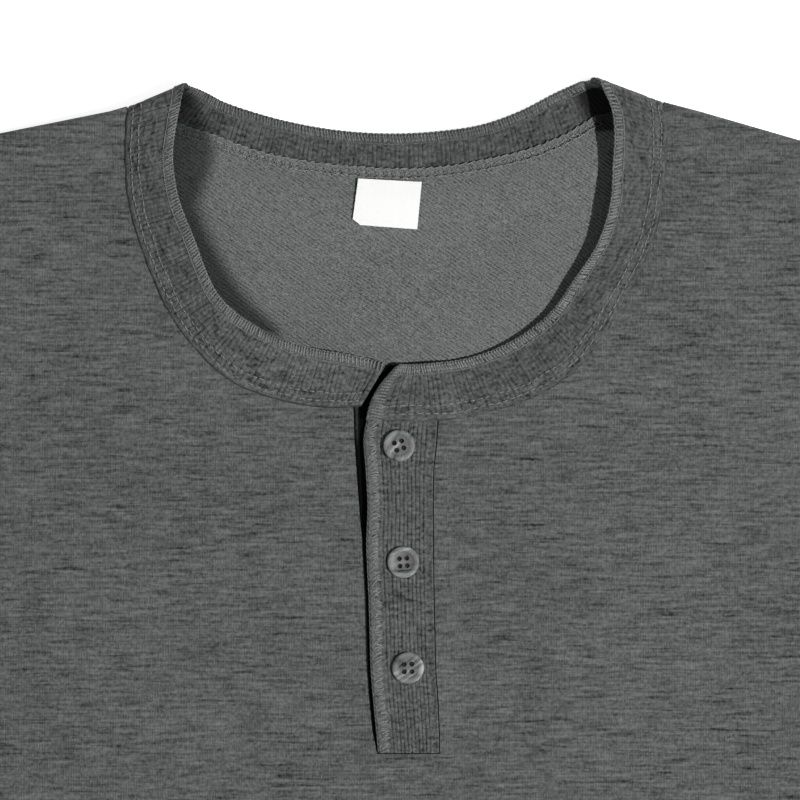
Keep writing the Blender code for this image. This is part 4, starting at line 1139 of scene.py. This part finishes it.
def add_cuff_stitches(name, side, shader):
    """Two rows round the visible side of a cuff."""
    cuff = cuff_line(side)
    along, length = unit(cuff[1] - cuff[0]), np.linalg.norm(cuff[1] - cuff[0])
    inward = np.array([-along[1], along[0]])
    inward *= -np.sign(inward[0] * side)

    def top(points):
        """Height of the sleeve's upper side near the cuff."""
        d = (points - cuff[0]) @ along
        return sum(sleeve_top(points, np.minimum(d, length - d), side))

    shares = np.linspace(0.035, 0.965, 40)[:, None]
    rows = [stitch_row(cuff[0] + (cuff[1] - cuff[0]) * shares + inward * (HEM_DEPTH - below), top)
            for below in HEM_NEEDLES]
    return add_threads(name, np.concatenate(rows), 0.25, shader)


# ---------------------------------------------------------------- buttons and label

def button_profile():
    """Radius and height round a button's section, from the middle of its back to its dish."""
    rim = [(BUTTON_RADIUS - 0.75 + 0.75 * math.cos(a), 1.20 + 0.80 * math.sin(a))
           for a in np.radians(np.linspace(-80, 90, 11))]
    dish = [(5.15, 2.03), (4.75, 1.95), (4.35, 1.76), (4.0, 1.50), (3.7, 1.38), (3.2, 1.33), (1.6, 1.30)]
    return [(radius, BUTTON_FLAT * height) for radius, height in [(2.0, 0.02), (4.6, 0.08)] + rim + dish]


def object_of(name, work):
    """An object from a finished bmesh, which is freed."""
    mesh = bpy.data.meshes.new(name)
    work.to_mesh(mesh)
    work.free()
    return link(name, mesh)


def drilled_button(name):
    """The mesh of a four-hole button, flat at the origin."""
    work = bmesh.new()
    angles = np.linspace(0, 2 * math.pi, BUTTON_SIDES, endpoint=False)
    rings = [[work.verts.new((radius * math.cos(a) * MM, radius * math.sin(a) * MM, height * MM))
              for a in angles] for radius, height in button_profile()]
    for low, high in zip(rings, rings[1:]):
        for corners in zip(low, low[1:] + low[:1], high[1:] + high[:1], high):
            work.faces.new(corners)
    work.faces.new(rings[0][::-1])
    work.faces.new(rings[-1])
    body = object_of(name, work)
    work = bmesh.new()
    for sx, sy in HOLES:
        cone = bmesh.ops.create_cone(work, segments=20, radius1=HOLE_RADIUS * MM,
                                     radius2=HOLE_RADIUS * 1.12 * MM, depth=8 * MM, cap_ends=True)
        middle = Vector((sx * HOLE_SPACING / 2, sy * HOLE_SPACING / 2, 1.0)) * MM
        bmesh.ops.translate(work, verts=cone["verts"], vec=middle)
    cutter = object_of(f"{name}_holes", work)
    cut = body.modifiers.new("holes", "BOOLEAN")
    cut.object = cutter
    cut.operation = "DIFFERENCE"
    cut.solver = "EXACT"
    drilled = bpy.data.meshes.new_from_object(body.evaluated_get(bpy.context.evaluated_depsgraph_get()))
    bpy.data.objects.remove(body)
    bpy.data.objects.remove(cutter)
    return drilled


def add_button(name, x, y, turn, lean, shader):
    """A four-hole button with a rounded rim and a dished middle, and where it sits."""
    mesh = drilled_button(name)
    clear = BUTTON_RADIUS * math.sin(math.radians(lean))
    base = PLACKET_Z + PLACKET_WALL + RIB_HEIGHT + BUTTON_REST + 0.7 * clear
    spot = placed((x, y, base), lean, turn)
    local = np.array([vertex.co for vertex in mesh.vertices])
    # 1 in the dish, which the pearl darkens as painted shade
    dish = smooth((4.9 - np.hypot(local[:, 0], local[:, 1]) / MM) / 0.6)
    mesh.attributes.new("strip", "FLOAT_VECTOR", "POINT").data.foreach_set("vector", local.ravel())
    mesh.attributes.new("groove", "FLOAT", "POINT").data.foreach_set("value", dish)
    mesh.transform(spot)
    mesh.shade_smooth()
    mesh.set_sharp_from_angle(angle=math.radians(38))
    mesh.materials.clear()
    mesh.materials.append(shader)
    return link(name, mesh), spot


def placed(spot, lean, turn):
    """The matrix that puts a button in its place, leaning and turned as it lies."""
    turned = Euler((0.0, math.radians(lean), math.radians(turn))).to_matrix().to_4x4()
    return Matrix.Translation(Vector(spot) * MM) @ turned


def add_button_thread(name, spot, shader):
    """Sewing thread: two strands that go down each hole."""
    rise = np.linspace(0, 1, 7)
    local = []
    for sy, sx in HOLES:
        for shift in (-0.28, 0.28):
            x, y = sx * HOLE_SPACING / 2 + shift * 0.6, sy * HOLE_SPACING / 2 + shift
            local.append(np.column_stack([x + 0 * rise, y + 0 * rise, 0.05 + 0.6 * rise]))
    matrix = np.array(spot)
    world = np.array(local) * MM @ matrix[:3, :3].T + matrix[:3, 3]
    return add_threads(name, world / MM, 0.30, shader, up=(1.0, 0.0, 0.0), sides=6, taper=0.9)


def label_top(points):
    """Height of the label's underside, bowed a little off the back panel."""
    rest = back_under(points) + back_relief(points) + JERSEY + GAP + 0.1
    lower = smooth((322.0 - points[:, 1]) / 12.0)
    bow = 0.35 * lower * (0.5 + 0.5 * np.cos((points[:, 0] + 3.0) / 8.0))
    return rest + bow


def add_label(shader):
    """The small label, left bare, held at its top."""
    outline = np.array(LABEL)
    dense = []
    for i, corner in enumerate(outline):
        following = outline[(i + 1) % len(outline)]
        pieces = max(1, int(np.linalg.norm(following - corner) // 1.5))
        dense += [corner + (following - corner) * k / pieces for k in range(pieces)]
    dense = np.array(dense)
    made = add_panel("size_label", dense, np.zeros(len(dense)), label_top, lambda p: np.zeros(len(p)), 1,
                     [(outline, 1.5, 20.0)], [shader, shader], wall=LABEL_WALL)
    return made, outline


# ---------------------------------------------------------------- materials

class Shader:
    """A Principled material whose colour and bump are worked out by nodes."""

    def __init__(self, name, roughness, **sockets):
        self.made = bpy.data.materials.new(name)
        self.made.use_nodes = True
        self.tree = self.made.node_tree
        self.surface = self.tree.nodes["Principled BSDF"]
        self.surface.inputs["Roughness"].default_value = roughness
        self.surface.inputs["Metallic"].default_value = 0.0
        for key, value in sockets.items():
            self.surface.inputs[key.replace("_", " ")].default_value = value

    def node(self, kind, **settings):
        """A node with some of its settings."""
        made = self.tree.nodes.new(kind)
        for key, value in settings.items():
            setattr(made, key, value)
        return made

    def feed(self, socket, value):
        """A number, a vector or another node's output into a socket."""
        if isinstance(value, bpy.types.NodeSocket):
            self.tree.links.new(value, socket)
        else:
            socket.default_value = value

    def math(self, operation, first, second=0.0, clamp=False):
        """A sum on numbers."""
        made = self.node("ShaderNodeMath", operation=operation, use_clamp=clamp)
        self.feed(made.inputs[0], first)
        self.feed(made.inputs[1], second)
        return made.outputs[0]

    def place(self, scale, turn=0.0, attribute=None):
        """Coordinates in metres times scale, turned about Z, from the object or an attribute."""
        if attribute:
            source = self.node("ShaderNodeAttribute", attribute_name=attribute).outputs["Vector"]
        else:
            source = self.node("ShaderNodeTexCoord").outputs["Object"]
        if turn:
            turned = self.node("ShaderNodeMapping")
            self.feed(turned.inputs["Vector"], source)
            turned.inputs["Rotation"].default_value = (0.0, 0.0, -math.radians(turn))
            source = turned.outputs[0]
        made = self.node("ShaderNodeMapping")
        self.feed(made.inputs["Vector"], source)
        made.inputs["Scale"].default_value = scale
        return made.outputs[0]

    def noise(self, where, detail=1.0, rough=0.5, distortion=0.0):
        """Noise around 0, about -0.5 to 0.5, with cells of size 1."""
        made = self.node("ShaderNodeTexNoise")
        self.feed(made.inputs["Vector"], where)
        made.inputs["Scale"].default_value = 1.0
        made.inputs["Detail"].default_value = detail
        made.inputs["Roughness"].default_value = rough
        made.inputs["Distortion"].default_value = distortion
        return self.math("SUBTRACT", made.outputs[0], 0.5)

    def band(self, value, low, high):
        """0 at low and 1 at high, smoothly."""
        made = self.node("ShaderNodeMapRange", interpolation_type="SMOOTHSTEP")
        self.feed(made.inputs["Value"], value)
        made.inputs["From Min"].default_value = low
        made.inputs["From Max"].default_value = high
        return made.outputs[0]

    def total(self, start, *terms):
        """start plus each value times its weight."""
        for value, weight in terms:
            start = self.math("ADD", self.math("MULTIPLY", value, weight), start)
        return start

    def part(self, where, axis):
        """One coordinate of a vector."""
        made = self.node("ShaderNodeSeparateXYZ")
        self.feed(made.inputs[0], where)
        return made.outputs[axis]

    def painted_corner_shade(self):
        """Painted shade: 1, and near 0 in the deepest corner, where the neckband turns over at the right."""
        where = self.place((1.0, 1.0, 1.0))
        *sides, darker = PAINTED_CORNER_SHADE
        along, up = (self.band(self.part(where, axis), *side) for axis, side in enumerate(sides))
        return self.total(1.0, (self.math("MULTIPLY", along, up), darker))

    def finish(self, tone, colour, height=None, distance=0.0):
        """Colour times tone, and a bump of some height in metres."""
        made = self.node("ShaderNodeVectorMath", operation="SCALE")
        made.inputs[0].default_value = colour
        self.feed(made.inputs["Scale"], self.math("MAXIMUM", tone, 0.05))
        self.feed(self.surface.inputs["Base Color"], made.outputs[0])
        if height is not None:
            bump = self.node("ShaderNodeBump")
            bump.inputs["Strength"].default_value = 1.0
            bump.inputs["Distance"].default_value = distance
            self.feed(bump.inputs["Height"], height)
            self.feed(self.surface.inputs["Normal"], bump.outputs[0])
        return self.made


def heather(name, turn=0.0):
    """Melange jersey: long thin dark and light streaks along the courses, over fine knitting."""
    made = Shader(name, 0.92, Sheen_Weight=0.06, Sheen_Roughness=0.6, Specular_IOR_Level=0.25)
    streak = made.noise(made.place((80.0, 780.0, 300.0), turn), 2.0, 0.55)
    fleck = made.noise(made.place((60.0, 620.0, 300.0), turn), 1.0, 0.5, 0.3)
    pale = made.noise(made.place((75.0, 700.0, 260.0), turn), 1.0, 0.5, 0.2)
    fine = made.noise(made.place((760.0, 760.0, 760.0), turn), 1.0, 0.6)
    cloud = made.noise(made.place((14.0, 22.0, 14.0), turn), 2.0, 0.5)
    columns = made.math("SINE", made.part(made.place((2 * math.pi / 0.00105, 1.0, 1.0), turn), 0))
    uneven = made.band(made.noise(made.place((260.0, 500.0, 260.0), turn), 1.0), -0.1, 0.15)
    wales = made.math("MULTIPLY", columns, uneven)
    dark = made.band(fleck, -0.085, -0.21)
    light = made.band(pale, 0.09, 0.24)
    tone = made.total(1.01, (streak, 1.95), (fine, 1.6), (cloud, 0.5), (dark, -0.38), (light, 0.18),
                      (wales, 0.045))
    height = made.total(0.0, (fine, 1.0), (wales, 0.25), (streak, 0.35))
    return made.finish(tone, TONES["heather"], height, 0.00028)


def inside_face(name, turn=0.0):
    """The jersey's plain inner side: rows of floats that run down to the right, with painted shade in the
    neck's deepest corner.
    """
    made = Shader(name, 0.95, Sheen_Weight=0.06, Sheen_Roughness=0.6, Specular_IOR_Level=0.2)
    where = made.place((1.0, 1.0, 1.0), turn)
    bend = made.noise(made.place((70.0, 70.0, 70.0), turn), 2.0)
    x, y = made.part(where, 0), made.part(where, 1)
    across, crossing = (made.total(0.0, (x, 2 * math.pi / pitch_x), (y, 2 * math.pi / pitch_y))
                        for pitch_x, pitch_y in FLOAT_PITCHES)
    lines = made.math("SINE", made.total(0.0, (across, 1.0), (bend, 2.0)))
    ticks = made.math("SINE", made.total(0.0, (crossing, 1.0), (bend, 3.0)))
    slope = turn - math.degrees(math.atan2(*FLOAT_SLOPE))
    drawn = made.noise(made.place((430.0, 1400.0, 300.0), slope), 2.0, 0.65)
    broken = made.noise(made.place((240.0, 420.0, 300.0), slope), 1.0)
    fine = made.noise(made.place((1300.0, 1300.0, 1300.0), turn), 1.0, 0.7)
    cloud = made.noise(made.place((18.0, 30.0, 18.0), turn), 2.0, 0.5)
    rows = made.math("MULTIPLY", lines, made.band(broken, -0.22, 0.14))
    tone = made.total(1.02, (rows, 0.21), (ticks, 0.14), (drawn, 0.9), (fine, 2.1), (cloud, 0.26))
    # painted shade in the neck's deepest corner
    tone = made.math("MULTIPLY", tone, made.painted_corner_shade())
    height = made.total(0.0, (rows, 0.6), (drawn, 0.8), (fine, 0.5))
    return made.finish(tone, TONES["inside"], height, 0.00026)


def rib(name, colour, groove_dark=0.5, patch=0.0, less_shaded_patch=None, gloss=1.0):
    """Rib knit: streaks along the courses, with painted shade in the grooves between ribs.

    patch is how much of the grooves' painted shade is lost in patches, and gloss is a share of the
    usual sheen and highlights.
    less_shaded_patch, if given, is a patch left out of a painted shadow that makes the rest of a strip near
    black, in metres: the x it ends at, the lowest and the highest y.
    """
    made = Shader(name, 0.92, Sheen_Weight=0.06 * gloss, Sheen_Roughness=0.6, Specular_IOR_Level=0.25 * gloss)
    streak = made.noise(made.place((230.0, 620.0, 300.0), attribute="strip"), 2.0, 0.55)
    blotch = made.noise(made.place((110.0, 300.0, 200.0), attribute="strip"), 1.0, 0.5, 0.4)
    fine = made.noise(made.place((800.0, 800.0, 800.0), attribute="strip"), 1.0, 0.6)
    cloud = made.noise(made.place((30.0, 50.0, 50.0), attribute="strip"), 1.0)
    dark = made.band(blotch, -0.07, -0.22)
    deep = made.node("ShaderNodeAttribute", attribute_name="groove").outputs["Fac"]
    if patch:
        patchy = made.band(made.noise(made.place((90.0, 200.0, 200.0), attribute="strip"), 1.0), 0.12, -0.16)
        deep = made.math("MULTIPLY", deep, made.total(1.0, (patchy, -patch)))
    # deep darkens the grooves between ribs as painted shade, and lightens the paler bound strips
    tone = made.total(1.0, (streak, 1.75), (fine, 2.1), (dark, -0.34), (deep, -groove_dark), (cloud, 0.4))
    shade = made.node("ShaderNodeAttribute", attribute_name="shade").outputs["Fac"]
    tone = made.math("MULTIPLY", tone, made.total(1.0, (shade, -1.0)))
    # painted shadow: outside that patch the strip goes near black
    if less_shaded_patch:
        where = made.place((1.0, 1.0, 1.0))
        for axis, low, high in ((0, less_shaded_patch[0] + 0.001, less_shaded_patch[0]), (1, less_shaded_patch[1] - 0.006, less_shaded_patch[1] + 0.006),
                                (1, less_shaded_patch[2] + 0.001, less_shaded_patch[2])):
            tone = made.math("MULTIPLY", tone, made.band(made.part(where, axis), low, high))
    height = made.total(0.0, (fine, 1.0), (streak, 0.3))
    return made.finish(tone, colour, height, 0.00028)


def thread(name, colour, sunk=False, shaded=False):
    """Spun sewing thread with a twist; sunk, it takes the painted shade of the neck's deepest corner if it
    runs into that.
    """
    made = Shader(name, 0.75, Sheen_Weight=0.05, Sheen_Roughness=0.5, Specular_IOR_Level=0.35)
    where = made.place((1.0, 1.0, 1.0), attribute="strip")
    twist = made.math("SINE", made.total(0.0, (made.part(where, 0), 9000.0), (made.part(where, 1), 1000.0)))
    each = made.noise(made.place((40.0, 40.0, 90.0), attribute="strip"), 2.0)
    spots = made.noise(made.place((500.0, 500.0, 500.0)), 1.0)
    tone = made.total(1.0, (twist, 0.10), (each, 0.9), (spots, 0.8))
    if sunk:
        # painted shade in the neck's deepest corner
        tone = made.math("MULTIPLY", tone, made.painted_corner_shade())
    if shaded:
        shade = made.node("ShaderNodeAttribute", attribute_name="shade").outputs["Fac"]
        tone = made.math("MULTIPLY", tone, made.total(1.0, (shade, -1.0)))
    return made.finish(tone, colour, twist, 0.00008)


def pearl(name, seed, turn):
    """Marbled pearly plastic, with painted shade in the button's dish and a pale streak across it."""
    made = Shader(name, 0.55, Coat_Weight=0.05, Coat_Roughness=0.4, Specular_IOR_Level=0.3)
    shifted = made.node("ShaderNodeMapping")
    made.feed(shifted.inputs["Vector"], made.place((60.0, 190.0, 120.0), turn, attribute="strip"))
    shifted.inputs["Location"].default_value = (seed * 3.7, seed * 1.9, 0.0)
    swirl = made.noise(shifted.outputs[0], 3.0, 0.6, 1.1)
    cloud = made.noise(made.place((420.0, 420.0, 420.0)), 2.0)
    light = made.band(swirl, 0.04, 0.17)
    dark = made.band(swirl, -0.06, -0.19)
    # painted shade in the dish
    dish = made.node("ShaderNodeAttribute", attribute_name="groove").outputs["Fac"]
    tone = made.total(0.92, (swirl, 1.8), (light, 0.85), (dark, -0.34), (dish, -0.24), (cloud, 0.7))
    return made.finish(tone, TONES["button"], cloud, 0.00004)


def satin(name):
    """White woven tape with fine crosswise ribs."""
    made = Shader(name, 0.55, Sheen_Weight=0.03, Specular_IOR_Level=0.35)
    where = made.place((1.0, 1.0, 1.0))
    rows = made.math("SINE", made.math("MULTIPLY", made.part(where, 1), 2 * math.pi / 0.0006))
    cross = made.math("SINE", made.math("MULTIPLY", made.part(where, 0), 2 * math.pi / 0.0007))
    fine = made.noise(made.place((900.0, 900.0, 900.0)), 1.0)
    tone = made.total(1.0, (rows, 0.008), (cross, 0.006), (fine, 0.05))
    height = made.total(0.0, (rows, 0.6), (cross, 0.4), (fine, 0.5))
    return made.finish(tone, TONES["label"], height, 0.00004)


# ---------------------------------------------------------------- stage

def add_lamp(name, kind, middle, away, azimuth, elevation, **settings):
    """A lamp that shines on a middle. Azimuth 0 is from +X and 90 from +Y; elevation is above the floor."""
    data = bpy.data.lights.new(name, kind)
    for setting, value in settings.items():
        setattr(data, setting, value)
    a, e = math.radians(azimuth), math.radians(elevation)
    toward = Vector((math.cos(a) * math.cos(e), math.sin(a) * math.cos(e), math.sin(e)))
    lamp = link(name, data)
    lamp.location = Vector(middle) + toward * away
    lamp.rotation_mode = "QUATERNION"
    lamp.rotation_quaternion = toward.to_track_quat("Z", "Y")
    return toward


def add_sheet(name, corners, **sockets):
    """A flat sheet of the stage, with these values in its material."""
    mesh = bpy.data.meshes.new(name)
    mesh.from_pydata(corners, [], [tuple(range(len(corners)))])
    material = bpy.data.materials.new(f"{name}_material")
    material.use_nodes = True
    for key, value in sockets.items():
        material.node_tree.nodes["Principled BSDF"].inputs[key.replace("_", " ")].default_value = value
    mesh.materials.append(material)
    sheet = link(name, mesh)
    return sheet


def add_key():
    """The main lamp, to the right and a little below the frame, and a card that shades one part."""
    toward = add_lamp("key", "AREA", KEY_MIDDLE, KEY_DISTANCE, KEY_AZIMUTH, KEY_ELEVATION,
                      shape="DISK", size=KEY_SIZE, energy=KEY_POWER)
    offset = toward * ((CARD_HEIGHT - JERSEY) / toward.z)
    corners = [((x + offset.x) * MM, (y + offset.y) * MM, CARD_HEIGHT * MM) for x, y in CARD_SHADE]
    card = add_sheet("shade_card", corners, Base_Color=(0.0, 0.0, 0.0, 1.0), Alpha=CARD_DENSITY)
    card.visible_camera = card.visible_diffuse = card.visible_glossy = False


def add_stage():
    """White floor, soft light from both sides and the camera straight above."""
    half = FLOOR_HALF
    corners = [(x, y, -FLOOR_DROP) for x, y in ((-half, -half), (half, -half), (half, half), (-half, half))]
    add_sheet("floor", corners, Base_Color=(0.85, 0.85, 0.85, 1.0), Roughness=0.9,
              Emission_Color=(1.0, 1.0, 1.0, 1.0), Emission_Strength=0.8)
    add_key()
    add_lamp("side", "SUN", (0.0, 0.0, 0.0), 3.0, *SIDE_LAMP, energy=0.5, angle=math.radians(30.0))
    scene = bpy.context.scene
    scene.world = bpy.data.worlds.new("studio")
    scene.world.use_nodes = True
    background = scene.world.node_tree.nodes["Background"]
    background.inputs["Color"].default_value = (1.0, 1.0, 1.0, 1.0)
    background.inputs["Strength"].default_value = SURROUND

    data = bpy.data.cameras.new("camera")
    data.sensor_width = 36.0
    data.lens = LENS
    data.clip_start, data.clip_end = 0.05, 20.0
    scene.camera = link("camera", data)
    height = VIEW_SIDE / 2 / (data.sensor_width / 2 / data.lens)
    scene.camera.location = Vector((*VIEW_MIDDLE, height + VIEW_LEVEL)) * MM
    scene.view_settings.view_transform = "Standard"
    scene.view_settings.look = "None"
    scene.view_settings.exposure = 0.0
    scene.view_settings.gamma = 1.0


# ---------------------------------------------------------------- the shirt

def dress(made, node, slot, *more):
    """Hang a piece on the body, in place of its solid where it has one."""
    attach(made, "root")
    if node:
        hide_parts(node)
    return made


def main():
    jersey = heather("jersey_heather")
    plain = inside_face("jersey_inside")
    ribbing = rib("rib_knit", TONES["rib"], groove_dark=0.34, patch=0.7)
    ribbing_upper = rib("rib_knit_upper", TONES["rib"])
    # the under strip: a darker copy of the rib, as painted shadow, least dark in one patch
    ribbing_under = rib("rib_knit_under_painted_shadow", TONES["rib_under_painted_shadow"], less_shaded_patch=(-0.0149, 0.229, 0.243), gloss=0.25)
    topstitch = thread("topstitch_thread", TONES["topstitch"])
    sewing = thread("sewing_thread", TONES["thread"])
    dark_sewing = thread("button_thread", (0.02, 0.021, 0.02))
    pale_sewing = thread("overlock_thread", TONES["overlock"], shaded=True)
    # its loops take the painted shade of the neck's deepest corner
    looper_sewing = thread("looper_thread", TONES["looper"], sunk=True)

    (back, back_cut), (front, front_cut) = add_body([jersey, plain])
    dress(back, "back", "heather")
    dress(front, "front", "heather")
    looper, chain = add_coverstitch(looper_sewing)
    hem_rows = add_hem_stitches(sewing)
    for made in (looper, chain, hem_rows):
        dress(made, None, "heather")

    for word, side in (("left", -1), ("right", 1)):
        turn = math.degrees(math.atan2(CUFF_TOP[1] - CUFF_BOTTOM[1], CUFF_TOP[0] - CUFF_BOTTOM[0])) * side
        cloth = heather(f"sleeve_heather_{word}", turn)
        lining = inside_face(f"sleeve_inside_{word}", turn)
        sleeve, cut = add_sleeve(f"sleeve_{word}_tube", side, [cloth, lining])
        dress(sleeve, f"sleeve_{word}", "heather")
        rows = dress(add_cuff_stitches(f"cuff_{word}_topstitching", side, sewing), None, "heather")
        dress(add_seam_allowance(f"armhole_{word}_allowance", side, jersey), None, "heather")

    band = dress(add_neckband([ribbing]), "neckband", "rib")
    rows = dress(add_band_stitches(topstitch), None, "rib")
    overlock = dress(add_overlock(pale_sewing), None, "rib")
    end_overlock = dress(add_end_overlock(pale_sewing), None, "rib")
    edge_chain, needle_line = (dress(made, None, "rib") for made in add_edge_chain(pale_sewing))

    placket = dress(add_placket([ribbing_upper]), "placket", "rib")
    edge = dress(add_placket_overlock(topstitch), None, "rib")
    under = dress(add_placket_under([ribbing_under]), "placket_under", "rib")

    for number, (x, y, turn, lean, streaks) in enumerate(BUTTONS, 1):
        marbled = pearl(f"pearl_{number}", number, streaks - turn)
        button, spot = add_button(f"button_{number}_pearl", x, y, turn, lean, marbled)
        dress(button, f"button_{number}", "button")
        dress(add_button_thread(f"button_{number}_thread", spot, dark_sewing), None, "rib")

    label, label_cut = add_label(satin("label_satin"))
    dress(label, "label", "label")

    add_stage()


main()
